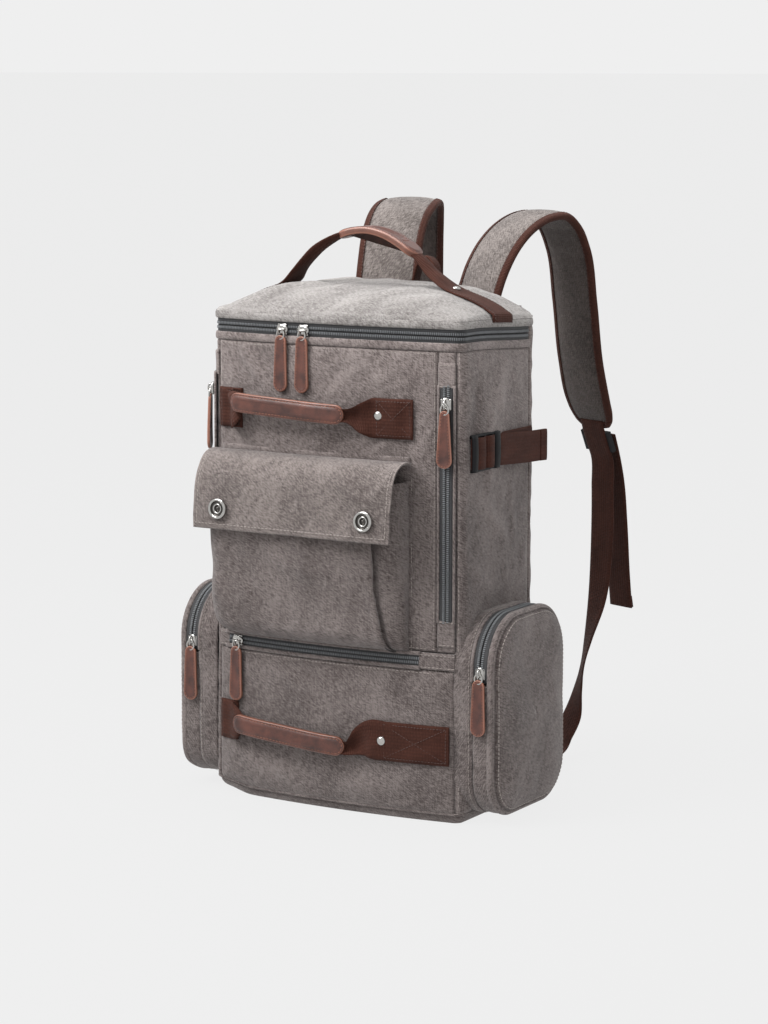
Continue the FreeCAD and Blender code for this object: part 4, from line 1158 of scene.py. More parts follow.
def pocket_outline(inset=0.0):
    """Side pocket's outline as (y, z) points and normals, from its foot's rear end round by the back."""
    low = POCKET_FOOT + FOOT
    corners = [((POCKET_BACK - FOOT, low), FOOT, -90), ((POCKET_BACK - ARCH, ARCH_Z), ARCH, 0),
               ((POCKET_FRONT + ARCH, ARCH_Z), ARCH, 90), ((POCKET_FRONT + FOOT, low), FOOT, 180)]
    points = []
    normals = []
    for number, (centre, radius, start) in enumerate(corners):
        for angle in np.radians(start + np.linspace(0, 90, int(radius * 1.57 / RING_STEP))):
            normals.append((math.cos(angle), math.sin(angle)))
            points.append((centre[0] + radius * normals[-1][0], centre[1] + radius * normals[-1][1]))
        other, size, turn = corners[(number + 1) % 4]
        straight = np.array([math.cos(math.radians(turn)), math.sin(math.radians(turn))])
        goal = np.array(other) + size * straight
        begin = np.array(points[-1])
        for t in np.linspace(0, 1, max(int(math.dist(begin, goal) / RING_STEP), 1), endpoint=False)[1:]:
            points.append(tuple(begin + (goal - begin) * t))
            normals.append(tuple(straight))
    return np.array(points) - inset * np.array(normals), np.array(normals)


def pocket_ring(side, x, inset):
    """The outline as points of the pack at a distance x from its middle."""
    points, normals = pocket_outline(inset)
    x = np.broadcast_to(x + fullness(side), len(points))
    ring = np.stack([side * x, points[:, 0], points[:, 1]], -1)
    return ring, np.stack([np.zeros(len(points)), normals[:, 0], normals[:, 1]], -1)


def pocket_face(side, name):
    """Full, rounded face of a side pocket."""
    insets = np.array([0, 0.4, 1.0, 1.8, 2.8, 4.0, 5.5, 7.5, 10, 13, 16.5, 20.5, 25, 30, 35])
    shares = np.array([0.8, 0.6, 0.4, 0.25, 0.12, 0.0005])
    rings = [pocket_ring(side, 0, inset)[0] for inset in insets]
    middle = rings[-1].mean(0)
    rings += [middle + (rings[-1] - middle) * share for share in shares]
    outer = []
    wear = []
    for inset, ring in zip(np.concatenate([insets, insets[-1] + (1 - shares) * 25]), rings):
        y, z = ring[:, 1], ring[:, 2]
        rise = FACE_X + fullness(side) + 3.2 * (1 - math.exp(-inset / 1.6))
        rise = rise + 7.0 * (1 - math.exp(-inset / 17)) - 2.4 * bell((inset - 3.4) / 0.9)
        soft = 1 - math.exp(-inset / 10)
        push = 1.5 * ripple(y, z, 90, 91 + side) + 0.6 * ripple(y, z, 36, 93 + side)
        push = push + creases(y, z, FACE_FOLDS)
        full = 2.5 * ease((130 - z) / 110) - (1 + fullness(side)) * ease((70 - z) / 60)
        outer.append(np.stack([side * (rise + soft * (push + full)), y, z], -1))
        # Paler on the worn rim, and darker in the groove behind it, painted shade.
        wear.append(np.full(len(y), 0.25 * bell((inset - 1.2) / 0.9) - 0.6 * bell((inset - 3.4) / 0.9)))
    outer = np.array(outer)
    inner = outer - side * RIGHT * 2.2
    inner[:3] = outer[:3] - side * RIGHT * 1.2
    piece = add_sheet(Piece(), outer, inner, outer[..., 1:], np.array(wear), wrap=True, inner_slot=1)
    face = piece.make("pocket_face_" + name, [CANVAS, LINING], None, ["side_cover_" + name], "canvas")
    fold_pocket(face)
    rows = Piece()
    add_stitches(rows, outer[6], steady(side * RIGHT, outer[6]), sink=-0.1)
    stitches = rows.make("pocket_face_stitches_" + name, GREY_THREAD, None, slot="canvas")
    fold_pocket(stitches)


def fold_pocket(obj):
    """Bakes a piece's placement into its mesh."""
    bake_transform(obj)


def ring_part(ring, normals, low, high):
    """The part of an outline ring above or below a height, as one run of points."""
    keep = (ring[:, 2] >= low) & (ring[:, 2] <= high)
    start = int(np.argmax(keep & ~np.roll(keep, 1)))
    order = (start + np.arange(int(keep.sum()))) % len(ring)
    return ring[order], normals[order]


def ring_band(side, ring, normal, xs, rise):
    """Grid of a band across a ring of the outline, each row raised, with its cloth coordinates."""
    grid = np.array([ring + side * RIGHT * x + normal * up for x, up in zip(xs, rise)])
    return grid, np.stack(np.meshgrid(np.arange(len(ring)) * RING_STEP, xs), -1)


def make_gusset(side, name, ring, normal):
    """Cloth round a side pocket: all round near the body, and below the zip's ends further out."""
    gusset = Piece()
    xs = np.concatenate([np.linspace(129, 134, 3), np.linspace(136, 150, 8)])
    grid, uv = ring_band(side, ring, normal, xs, 1.2 * bell((xs - 142) / 7))
    soft = 0.5 * ripple(grid[..., 1] + grid[..., 2], uv[..., 1], 26, 7 + side)
    grid = grid + normal[None] * soft[..., None]
    add_sheet(gusset, grid, grid - normal[None] * 2.0, uv, wrap=True, inner_slot=1)
    low_ring, low_normal = ring_part(ring, normal, -10, ZIP_FOOT - 1)
    xs = np.linspace(150, 170.5, 12)
    rise = 0.8 * bell((xs - 161) / 8) - 0.9 * bell((xs - 150) / 1.2)
    grid, uv = ring_band(side, low_ring, low_normal, xs, rise)
    add_sheet(gusset, grid, grid - low_normal[None] * 2.0, uv, inner_slot=1)
    gusset.make("pocket_gusset_" + name, [CANVAS, LINING], "pack", ["side_pocket_" + name], "canvas")


def make_pocket_zip(side, name, ring, normal):
    """Arched zip of a side pocket: one half on the pocket and the other on its cover."""
    flat = steady(side * RIGHT, ring)
    for part, way in (("pocket", -1), ("cover", 1)):
        tape = Piece()
        middle = ring + flat * (ZIP_X + way * 3.8) - normal * 0.4
        add_sweep(tape, middle, flat, normal, web_section(3.4, 1.1))
        add_teeth(tape, ring + flat * (ZIP_X + way * 0.1) - normal * 0.2, flat, normal, way, slot=1)
        body = "pack" if part == "pocket" else None
        replaces = ["side_zips"] if part == "pocket" and side > 0 else ()
        made = tape.make(part + "_zip_" + name, [TAPE, COIL], body, replaces, "zip")
        if part == "cover":
            fold_pocket(made)


def make_side_pocket(side, name):
    """Gusset, arched zip, welt, rim and face of one side pocket."""
    ring, normal = pocket_ring(side, 0, 0)
    across = side * RIGHT
    make_gusset(side, name, ring, normal)
    top_ring, top_normal = ring_part(ring, normal, ZIP_FOOT - 2, 400)
    make_pocket_zip(side, name, top_ring, top_normal)
    welt = Piece()
    add_sweep(welt, top_ring + across * 149.6 + top_normal * 0.1, steady(across, top_ring), top_normal,
              round_section(1.8, 1.5, 12), wear=0.1)
    welt.make("pocket_welt_" + name, CANVAS, "pack", slot="canvas")
    rim = Piece()
    add_sweep(rim, ring + across * 168.2 - normal * 0.6, steady(across, ring), normal,
              round_section(3.0, 2.0, 16), closed=True, wear=0.16)
    fold_pocket(rim.make("pocket_rim_" + name, CANVAS, None, slot="canvas"))
    rows = Piece()
    add_stitches(rows, ring + across * 147 + normal * 1.6, normal)
    rows.make("gusset_stitches_" + name, GREY_THREAD, "pack", slot="canvas")
    pocket_face(side, name)


# ------------------------------------------------------------------ zip sliders and pulls

def turned_place(x, y, z, turn):
    """A place with its origin and its x, inward and up directions, turned about the vertical."""
    inward = np.array([-math.sin(turn), math.cos(turn), 0])
    return np.array([x, y, z]), np.array([math.cos(turn), math.sin(turn), 0]), inward, UP


def bow_place(x, z, lift):
    """Place on the bowed front."""
    turn = math.asin(x / BOW_RADIUS)
    reach = BOW_RADIUS + lift
    return turned_place(reach * math.sin(turn), BOW_CENTRE - reach * math.cos(turn), z, turn)


def corner_place(side, degrees, z, lift):
    """Place on a front corner, turned towards a side."""
    turn = math.radians(degrees)
    reach = FRONT_RADIUS + lift
    x = side * (TURN_X + reach * math.sin(turn))
    return turned_place(x, TURN_Y - reach * math.cos(turn), z, side * turn)


def arch_place(side, degrees):
    """Place on a side pocket's arch, so many degrees above its spring."""
    rise = math.radians(degrees)
    origin = np.array([side * (ZIP_X + fullness(side)), POCKET_FRONT + TRAVEL * (1 - math.cos(rise)),
                       ZIP_FOOT + TRAVEL * math.sin(rise)])
    inward = np.array([0, math.cos(rise), -math.sin(rise)])
    return origin, RIGHT, inward, np.array([0, math.sin(rise), math.cos(rise)])


def slider_outline():
    """Outline of a slider's plate, waisted like a shield: (along, across) points, longer along."""
    angle = np.linspace(0, TAU, 40, endpoint=False)
    along = 6.4 * np.sign(np.cos(angle)) * np.abs(np.cos(angle)) ** 0.7
    across = 4.3 * np.sign(np.sin(angle)) * np.abs(np.sin(angle)) ** 0.7
    return along, across * (1 - 0.16 * np.cos(angle) - 0.1 * np.cos(2 * angle))


def make_slider(name, place, upright):
    """Plated slider with rolled flanges and a wire bail over it."""
    origin, x, inward, z = place
    travel, side = (z, x) if upright else (x, z)
    piece = Piece()
    along, across = slider_outline()
    layers = [(0.5, 0.2), (0.96, 0.2), (1.0, 0.8), (1.0, 1.5), (0.95, 2.1), (0.8, 2.5), (0.5, 2.75),
              (0.1, 2.8)]
    add_loft(piece, np.array([origin + np.outer(along * share, travel) + np.outer(across * share, side)
                              - inward * height for share, height in layers]))
    for way in (-1, 1):
        flange = np.array([origin + travel * t + side * way * 4.3 - inward * (0.3 + 0.2 * math.cos(t / 3))
                           for t in np.linspace(-5, 5, 12)])
        add_tube(piece, flange, 1.0, 8)
    bail = [origin + travel * (-4.3 * math.cos(a)) - inward * (2.3 + 3.6 * math.sin(a) ** 0.7)
            for a in np.linspace(0, math.pi, 18)]
    add_tube(piece, np.array(bail), 0.85, 10)
    piece.make("slider_" + name + "_plate", NICKEL, "slider_" + name, ["slider_" + name], "metal")


def pull_outline(low, high, narrow, wide):
    """Rounded outline of a leather pull as (x, z): narrow at its top, wide at its bottom."""
    foot, neck = low + wide, high - narrow
    turn = np.linspace(0, math.pi, 18)
    share = np.linspace(0, 1, 18)[1:-1]
    points = [(-wide * math.cos(a), foot - wide * math.sin(a)) for a in turn]
    points += [(wide + (narrow - wide) * t, foot + (neck - foot) * t) for t in share]
    points += [(narrow * math.cos(a), neck + narrow * math.sin(a)) for a in turn]
    points += [(-narrow + (narrow - wide) * t, neck + (foot - neck) * t) for t in share]
    return np.array(points)


PULL_TOP = -5.6
PULL_LOW = -59.0
PULL_LAYERS = [(5.4, 0.8, 0.0), (3.2, 1.1, 0.0), (2.3, 1.35, 0.0), (1.8, 1.05, 0.0), (1.2, 1.4, 0.05),
               (0.6, 1.4, 0.45), (0.15, 1.1, 1.0), (0.0, 0.6, 0.55)]


def pull_sway(z):
    """How far a leather pull bends out of its plane at a height below its link."""
    return 0.5 * np.sin((z + 20) / 17)


def make_link(name, hang):
    """Oval wire link between a slider's bail and its pull."""
    angle = np.linspace(0, TAU, 40, endpoint=False)
    ring = np.stack([3.9 * np.sin(angle) * (1 - 0.12 * np.cos(angle)), 0.25 * np.sin(2 * angle),
                     -4.5 + 4.7 * np.cos(angle)], -1)
    link = add_tube(Piece(), local(hang, ring), 0.9, 10, closed=True)
    link.make("link_" + name, NICKEL, "pull_" + name, slot="metal")


def make_pull(name, place, narrow=6.1, wide=7.5):
    """Leather pull of two stitched layers hanging from an oval wire link."""
    origin, x, inward, _ = place
    if name.startswith("side"):
        hang = (origin - inward * 4.15, RIGHT, REARWARD, UP)
    else:
        hang = (origin - inward * 4.15, x, inward, UP)
    make_link(name, hang)
    outline = pull_outline(PULL_LOW, PULL_TOP, narrow, wide)
    spine = np.stack([0 * outline[:, 0], np.clip(outline[:, 1], PULL_LOW + wide, PULL_TOP - narrow)], -1)
    away = outline - spine
    reach = np.linalg.norm(away, axis=1, keepdims=True)
    rings = []
    wear = []
    for way, layers in ((-1, PULL_LAYERS), (1, PULL_LAYERS[::-1])):
        for inset, high, paint in layers:
            shrunk = spine + away * np.clip(1 - inset / reach, 0.05, 1)
            rings.append(np.stack([shrunk[:, 0], way * high + pull_sway(shrunk[:, 1]), shrunk[:, 1]], -1))
            wear.append(np.full(len(outline), paint))
    tab = add_loft(Piece(), local(hang, np.array(rings)), wear=np.array(wear))
    tab.make("leather_pull_" + name, LEATHER, "pull_" + name, ["pull_" + name], "leather")
    rows = Piece()
    inner = pull_outline(PULL_LOW + 1.8, PULL_TOP - 1.8, narrow - 1.8, wide - 1.8)
    inner = np.vstack([inner, inner[:1]])
    line = local(hang, np.stack([inner[:, 0], pull_sway(inner[:, 1]) - 1.22, inner[:, 1]], -1))
    add_stitches(rows, line, steady(-hang[2], line), 2.9, 2.0, 0.26)
    rows.make("pull_stitches_" + name, TAN_THREAD, "pull_" + name, slot="leather")


def make_sliders():
    """All seven sliders with their pulls."""
    for name, place in (("main_left", bow_place(-52, ZIP, 0)), ("main_right", bow_place(-28, ZIP, 0)),
                        ("lower", bow_place(-105, LOWER_SEAM, 3.5))):
        make_slider(name, place, False)
        make_pull(name, place)
    for name, place in (("corner_right", bow_place(RIGHT_ZIP, 400, 2.6)),
                        ("corner_left", corner_place(-1, 68, 400, 3))):
        make_slider(name, place, True)
        make_pull(name, place, 4.7, 7.6)
    for name, side in (("side_right", 1), ("side_left", -1)):
        place = arch_place(side, 8)
        make_slider(name, place, True)
        make_pull(name, place)


# ------------------------------------------------------------------ handles

GRIP_LAYERS = [(6.0, 1.0, 0), (2.8, 1.0, 0), (2.2, 0.8, 0), (1.4, 0.92, 0), (0.7, 0.84, 0.15),
               (0.2, 0.7, 0.7), (0.0, 0.3, 0.2)]


def grip_outline(total, half, inset):
    """Stadium outline of a grip as (distance along, across); half is half its width."""
    size = max(half - inset, 0.5)
    ends = np.linspace(0, math.pi, 22)
    run = np.linspace(0, 1, 34)[1:-1]
    points = [(total - half + size * math.sin(a), -size * math.cos(a)) for a in ends]
    points += [(total - half + (2 * half - total) * t, size) for t in run]
    points += [(half - size * math.sin(a), size * math.cos(a)) for a in ends]
    points += [(half + (total - 2 * half) * t, -size) for t in run]
    return np.array(points)


def wrapped(line, across, normal, flat, height):
    """Points (distance along, across) laid at a height over a line, and the directions out of it there."""
    far = lengths(line)
    base, side, up = (at_lengths(flat[:, 0], far, values) for values in (line, across, normal))
    up = unit(up)
    return base + unit(side) * flat[:, 1:] + up * height[:, None], up


def add_grip(piece, rows, line, across, half, thick):
    """Adds a stitched leather grip wrapped round a handle, with round ends; half is half its width."""
    across, normal = directions(line, across)
    total = lengths(line)[-1]
    rings = []
    wear = []
    for way, layers in ((-1, GRIP_LAYERS), (1, GRIP_LAYERS[::-1])):
        for inset, share, paint in layers:
            flat = grip_outline(total, half, inset)
            wobble = 0.25 * np.sin(flat[:, 0] / 13 + way) * min(inset / 3, 1)
            rings.append(wrapped(line, across, normal, flat, way * thick / 2 * share + wobble)[0])
            wear.append(np.full(len(flat), paint))
    add_loft(piece, np.array(rings), wear=np.array(wear))
    flat = grip_outline(total, half, 2.2)
    flat = np.vstack([flat, flat[:1]])
    for way in (-1, 1):
        row, up = wrapped(line, across, normal, flat, np.full(len(flat), way * thick / 2 * 0.84))
        add_stitches(rows, row, up * way, 3.6, 2.5, 0.33)


def patch_stitches(rows, u0, u1, z, half, proud, cross=True):
    """A box of stitches, with a cross in it, through webbing sewn on the wall."""
    a, b, low, high = u0 + 3, u1 - 3, z - half + 3, z + half - 3
    lines = [((a, low), (b, low)), ((b, low), (b, high)), ((b, high), (a, high)), ((a, high), (a, low))]
    if cross:
        lines += [((a, low), (b, high)), ((a, high), (b, low))]
    for (ua, za), (ub, zb) in lines:
        count = int(math.hypot(ub - ua, zb - za) / 4) + 2
        row, out = wall(np.linspace(ua, ub, count), np.linspace(za, zb, count), proud)
        add_stitches(rows, row, out, 3.2, 2.3, 0.34)


def patch(piece, rows, u0, u1, z, half):
    """Adds a webbing patch sewn on the wall."""
    u, height = np.meshgrid(spaced(u0, u1, 3, 0.3), spaced(z - half, z + half, 3, 0.3))
    edge = inset_of(u, height, u0, u1, z - half, z + half)
    base, normal = wall(u, height, 0)
    lift = 2.6 - 0.8 * bell(edge / 0.6) - 0.35 * bell((edge - 3) / 0.8) + 0.2 * ripple(u, height, 20, int(z))
    outer = base + normal * lift[..., None]
    wear = 0.12 * bell((edge - 0.8) / 0.7)
    add_sheet(piece, outer, outer - normal * 2.2, np.stack([u, height], -1), wear)
    patch_stitches(rows, u0, u1, z, half, 2.35, False)


def wall_stations(us, z, half, proud=2.2):
    """Stations of a strap that lies flat on the wall."""
    points, _ = wall(us, z, proud)
    return [(tuple(point), (0, 0, half)) for point in points]


def make_handle_ends(name, height, centre, tilt, patch_left, right_end):
    """Webbing of a front handle, from flat on the wall to folded under the grip, at each end."""
    web = Piece()
    end = height - tilt * 1.1
    folds = [((8, -99.4, end), (0, 0, 7)), ((19, -97.8, end), (0, 0, 6.4)), ((27, -94.6, end), (0, 0, 6.6)),
             ((33, -92.6, end * 0.7 + centre * 0.3), (0, 0, 9.5)),
             ((40, -91.4, end * 0.3 + centre * 0.7), (0, 0, 14.5))]
    flat = wall_stations(np.arange(49, right_end + 1, (right_end - 49) / 5), centre, 18.8)
    add_strap(web, folds + flat, 2.4, 1.6, cups=[2, 4, 6.5, 7, 5, 0.8, 0, 0, 0, 0, 0])
    right = web.make(name + "_fold_right", WEB, None, [name + "_webbing"], "webbing")
    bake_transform(right)
    web = Piece()
    start = height + tilt * 1.1
    folds = [((-105, -90.5, centre), (0, 0, 17.4)), ((-100, -93.4, centre * 0.4 + start * 0.6), (0, 0, 14)),
             ((-92, -96.6, start), (0, 0, 8)), ((-82, -98.5, start), (0, 0, 7))]
    flat = wall_stations(np.array([patch_left + 4.0, -112]), centre, 18.4, 2.4)
    add_strap(web, flat + folds, 2.4, 1.6, cups=[0, 0, 0, -2.0, -1, 0])
    left = web.make(name + "_fold_left", WEB, None, slot="webbing")
    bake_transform(left)


def make_front_handle(name, height, centre, tilt, left_patch, right_end, rivet):
    """Carry handle on the front: patch, webbing that folds into the grip, leather grip and rivet."""
    patches = Piece()
    rows = Piece()
    patch(patches, rows, *left_patch, centre, 19)
    patch_stitches(rows, 60 if right_end > 100 else 50, right_end, centre, 19, 3.45)
    first = name == "upper_handle"
    patches.make(name + "_patch", WEB, "pack", ["handle_patches"] if first else (), "webbing")
    rows.make(name + "_patch_stitches", BROWN_THREAD, "pack", slot="webbing")
    grip = Piece()
    seams = Piece()
    run = [(-101, -96.5), (-92, -99), (-76, -101), (-40, -101.6), (0, -101), (16, -99), (24, -97)]
    line = curve([(x, y, height - tilt * (x + 38) / 60) for x, y in run], 2)
    add_grip(grip, seams, line, steady(UP, line), 9.2, 6.2)
    grip.make(name + "_leather", LEATHER, name, [name + "_grip"], "leather")
    seams.make(name + "_stitches", TAN_THREAD, name, slot="leather")
    make_handle_ends(name, height, centre, tilt, left_patch[0], right_end)
    head = Piece()
    points, normals = wall(np.array([rivet[0]]), rivet[1], 3.2)
    add_lathe(head, (points[0], -np.cross(UP, normals[0]), UP, normals[0]), RIVET)
    head.make(name + "_rivet", NICKEL, "pack", ["handle_rivets"] if first else (), "metal")


RIVET = [(4.4, -1.6), (4.5, -0.2), (4.3, 0.4), (3.7, 1.0), (2.8, 1.5), (1.7, 1.85), (0.7, 2.0), (0.1, 2.02)]


BAND_HALF = 19


def band_height(x):
    """Height of the webbing bands that lie on the lid."""
    return float(lid_height(x, 0)) + 1.6


def make_top_band(name, side, rise):
    """One end of the top handle: webbing that widens onto the lid, and runs down to its rim."""
    web = Piece()
    stations = [((side * (rise[0][0] - 12), 0, rise[0][1] + (6 if side > 0 else 3.5)), (0, 8, 0))]
    stations += [((side * x, 0, z), (0, half, 0)) for x, z, half in rise]
    down = [(x, band_height(x) + 1.5) for x in (112, 122, 129, 133.5) if x > rise[-1][0] + 8]
    down += [(HALF_WIDTH + 0.9, 480), (HALF_WIDTH + 1.2, 473)]
    stations += [((side * x, 0, z), (0, BAND_HALF, 0)) for x, z in down]
    cups = [-2, -3, -4, -4.5, -3.5, -1] + [0] * (len(stations) - 6)
    line, across, normal, half = add_strap(web, stations, 2.6, 2, cups=cups)
    strap = web.make("top_band_" + name, WEB, None, ["lid_handle_bands", "top_handle_webbing"], "webbing")
    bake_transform(strap)
    rows = Piece()
    sewn = line[:, 2] < band_height(rise[-1][0]) + 3
    out = normal if normal[-4, 0] * side > 0 else -normal
    for way in (-1, 1):
        edge = line + across * (half * way * 0.86)[:, None]
        add_stitches(rows, (edge + out * 1.3)[sewn], out[sewn], 3.4, 2.4, 0.34)
    rows.make("top_band_stitches_" + name, BROWN_THREAD, "lid", slot="webbing")


def make_top_handle():
    """Arched handle over the lid: webbing bands down to the rim, folded ends and a leather grip."""
    make_top_band("right", 1, [(47, 531.5, 9), (55, 525, 10), (64, 516.5, 12), (74, 509.5, 15),
                               (84, band_height(84) + 4.0, 18), (95, band_height(95) + 1.6, BAND_HALF)])
    make_top_band("left", -1, [(36, 547.2, 9), (48, 541.5, 11), (61, 533.5, 12.5), (74, 522, 13),
                               (85, 511.5, 14.5), (94, band_height(94) + 4.4, 18),
                               (103, band_height(103) + 1.6, BAND_HALF)])
    grip = Piece()
    seams = Piece()
    arch = ((-38, 546.5), (-20, 551.5), (-4, 552.8), (15, 549), (32, 541), (49, 529.5))
    line = curve([(x, 0, z) for x, z in arch], 2)
    add_grip(grip, seams, line, steady(REARWARD, line), 12, 7.6)
    grip.make("top_handle_leather", LEATHER, "top_handle", ["top_handle_grip"], "leather")
    seams.make("top_handle_stitches", TAN_THREAD, "top_handle", slot="leather")
    heads = Piece()
    for x in (89, -99):
        add_lathe(heads, (np.array([x, 0, band_height(x) + 4.2]), RIGHT, REARWARD, UP), RIVET)
    heads.make("lid_rivet_heads", NICKEL, "lid", ["lid_rivets"], "metal")


def make_hang_loop():
    """Webbing hang loop behind the lid."""
    loop = Piece()
    rise = [(-12, 94, 432), (-12.5, 96, 470), (-12, 99, 500), (-8, 102, 515), (0, 103, 521)]
    fall = [(-x, y, z) for x, y, z in reversed(rise[:-1])]
    add_strap(loop, [((x, y, z), (0, 7, -1)) for x, y, z in rise + fall], 3, 2)
    loop.make("hang_loop_web", WEB, "pack", ["hang_loop"], "webbing")


# ------------------------------------------------------------------ straps

SIDE_STRAP_Z = 353


def add_lock(piece, side, y, z):
    """Ladder lock of a side strap: two rails, a front bar, a thin middle bar and a broad curved rear bar."""
    out = HALF_WIDTH + 4.6
    for way in (-1, 1):
        rail = curve([(side * (out + rise), y + t, z + way * 16.0) for t, rise in
                      ((-24, -1.8), (-16, -1.4), (-4, -1.2), (8, -1.2), (18, -0.6), (24, -0.6))], 2)
        add_sweep(piece, rail, steady(UP, rail), steady(side * RIGHT, rail), round_section(1.7, 1.9, 14))
    for shift, half, thick, rise in ((-21, 4.2, 2.2, 0.4), (-1.5, 1.5, 1.3, -0.6), (20.5, 5.0, 2.5, 0.6)):
        spread = np.linspace(-17, 17, 14)
        reach = out + rise + 0.8 * (1 - (spread / 17) ** 2)
        bar = np.stack([side * reach, np.full(14, y + shift), z + spread], -1)
        add_sweep(piece, bar, steady(REARWARD, bar), steady(side * RIGHT, bar),
                  round_section(half, thick, 16))


def make_compression_straps():
    """Side straps: webbing each side of a ladder lock, looped over its bars, and the loose end."""
    locks = Piece()
    for side, name, lock_y, first_y in ((1, "right", -38, -62), (-1, "left", -18, -52)):
        web = Piece()
        front = [(0.6, first_y), (0.2, lock_y - 27 if side < 0 else first_y + 1.5), (0.3, lock_y - 21),
                 (3.2, lock_y - 16), (4.9, lock_y - 11), (4.6, lock_y - 6), (2.2, lock_y - 3),
                 (0.2, lock_y + 1)]
        back = [(0, 56), (0, lock_y + 26), (0, lock_y + 14), (0.2, lock_y + 6)]
        over = [(0.6, lock_y - 1), (3.4, lock_y + 1.5), (5.2, lock_y + 6), (5.0, lock_y + 10),
                (2.8, lock_y + 14), (1.2, lock_y + 20), (2.6, lock_y + 30), (4.6, 12 + lock_y / 10),
                (8.0, 36), (12.0, 62)]
        hem = [(11.0, 53), (13.6, 61.5)]
        for path, drop in ((front, 0), (back, 0), (over, 3), (hem, 3)):
            places = [(side * (HALF_WIDTH + 3.0 + rise), y, SIDE_STRAP_Z - drop * ease((y - lock_y) / 90))
                      for rise, y in path]
            add_strap(web, [(place, (0, 0, 15)) for place in places], 1.8, 1.5)
        web.make("side_strap_" + name, WEB, "pack", ["compression_straps"] if side > 0 else (), "webbing")
        add_lock(locks, side, lock_y, SIDE_STRAP_Z)
    locks.make("side_locks", PLASTIC, "pack", ["compression_buckles"], "plastic")


def finish_cad_node(obj, material, radius):
    """Gives a CAD part its finish and softens its edges."""
    obj.data.materials.clear()
    obj.data.materials.append(material)
    bevel = obj.modifiers.new("soft_edges", "BEVEL")
    bevel.width = radius * MM
    bevel.segments = 3
    bevel.limit_method = "ANGLE"


SPLAY = math.radians(20)
PAD_HALF = 31.5
BOUND = 6
WEB_HALF = 16


def harness(distance, height, side):
    """A point of a shoulder strap's plane, by its distance behind the root and its height."""
    return (side * (52.5 + distance * math.sin(SPLAY)), 110 + distance * math.cos(SPLAY), height)


def harness_edge(half, side):
    """The vector across a shoulder strap, to its outer edge."""
    return (side * half * math.cos(SPLAY), -half * math.sin(SPLAY), 0)


def pad_section(half, edge, full):
    """Section of a padded strap: a full middle and thinner bound edges."""
    x = np.concatenate([np.linspace(-1, -0.93, 4), np.linspace(-0.86, 0.86, 21), np.linspace(0.93, 1, 4)])
    flat = half - BOUND
    away = np.abs(x) * half
    body = edge + (full - edge) * (1 - np.clip(away / flat, 0, 1) ** 2.6)
    top = body * np.sqrt(np.clip(1 - np.clip((away - flat) / (BOUND + 0.05), 0, 1) ** 2, 0, 1))
    rise = top - 0.5 * bell(away - flat + 1.6)
    return np.concatenate([np.stack([x * half, rise], -1), np.stack([x * half, -rise], -1)[::-1]])


def binding_section(half, edge, side):
    """Folded tape round one edge of a padded strap."""
    angle = np.radians(np.linspace(90, -90, 15))
    outer = np.stack([half - BOUND + 6.7 * np.cos(angle), (edge + 0.75) * np.sin(angle)], -1)
    inner = np.stack([half - BOUND + 5.6 * np.cos(angle), (edge - 0.1) * np.sin(angle)], -1)[::-1]
    return np.concatenate([outer, inner]) * np.array([side, 1])


def pad_stations(side):
    """Route of a padded strap: up from its sewn root, over at the shoulder, and down to its lock."""
    stations = [((side * 48, 94.5, 441), (side * 24, 0, 0)), ((side * 50, 101, 466), (side * 30, -6, 0))]
    for distance, height in ((0, 487), (12, 513), (27, 533.5), (49, 551), (73, 560), (92, 560), (106, 549),
                             (118, 527), (128, 474), (137, 412)):
        x, y, z = harness(distance, height, side)
        if side < 0:
            x += 11 * float(bell((distance - 85) / 42))
            z += 9 * float(ease((height - 500) / 55))
        stations.append(((x, y, z), harness_edge(PAD_HALF, side)))
    for distance, height, narrow in ((148, 371, 0.5), (154, 357, 3), (157.5, 349, 7), (159.5, 344.5, 12)):
        stations.append((harness(distance, height, side), harness_edge(PAD_HALF - narrow, side)))
    return stations


def make_pad(name, side, body):
    """Padded part of a shoulder strap, its inner face painted darker as painted shade, with its binding and
    the stitches through it.
    """
    made = curve([list(p) + list(e) for p, e in pad_stations(side)], 2.5)
    line = made[:, :3]
    across, normal = directions(line, made[:, 3:6])
    width = np.linalg.norm(made[:, 3:6], axis=1)
    far = lengths(line)
    top = int(np.argmax(line[:, 2]))
    fade = ease(far / 20) * ease((far[-1] - far) / 22)
    edge = 2.2 + 1.0 * fade
    swell = 1 + 0.07 * ripple(far, 0, 42, 101 + side) + 0.04 * ripple(far, 0, 15, 103)
    swell = swell + 0.13 * np.sin(far / 3.1 + np.sin(far / 11)) * bell((far - far[top] - 22) / 34)
    thick = 2.6 + fade * 2.9 * swell
    section = np.stack([pad_section(w, e, t) for w, e, t in zip(width, edge, thick)])
    pad = add_sweep(Piece(), line, across, normal, section)
    size = section.shape[1]
    # The inner face takes the darker strap canvas, painted shade; the outer face takes the plain strap
    # canvas.
    outside_first = normal[top, 2] > 0
    pad.slots = [int((k % size >= size // 2) == outside_first) for k in range(len(pad.slots))]
    pad = pad.make("shoulder_pad_" + name, [PAD_CANVAS, PAD_INNER_PAINTED_SHADE], body, ["strap_pad_" + name], "canvas")
    bound = Piece()
    tip = far > far[-1] - 9
    section = np.stack([pad_section(w + 0.6, e + 0.8, t + 0.7)
                        for w, e, t in zip(width[tip], edge[tip], thick[tip])])
    add_sweep(bound, line[tip], across[tip], normal[tip], section)
    rows = Piece()
    for way in (-1, 1):
        section = np.stack([binding_section(w, e, way) for w, e in zip(width, edge)])
        add_sweep(bound, line, across, normal, section)
        for face in (-1, 1):
            row = line + across * (way * (width - 5.2))[:, None] + normal * (face * (edge + 0.75))[:, None]
            add_stitches(rows, row, normal * face, 3.6, 2.6, 0.34)
    bound.make("strap_binding_" + name, WEB, body, slot="webbing")
    rows.make("strap_stitches_" + name, BROWN_THREAD, body, slot="webbing")


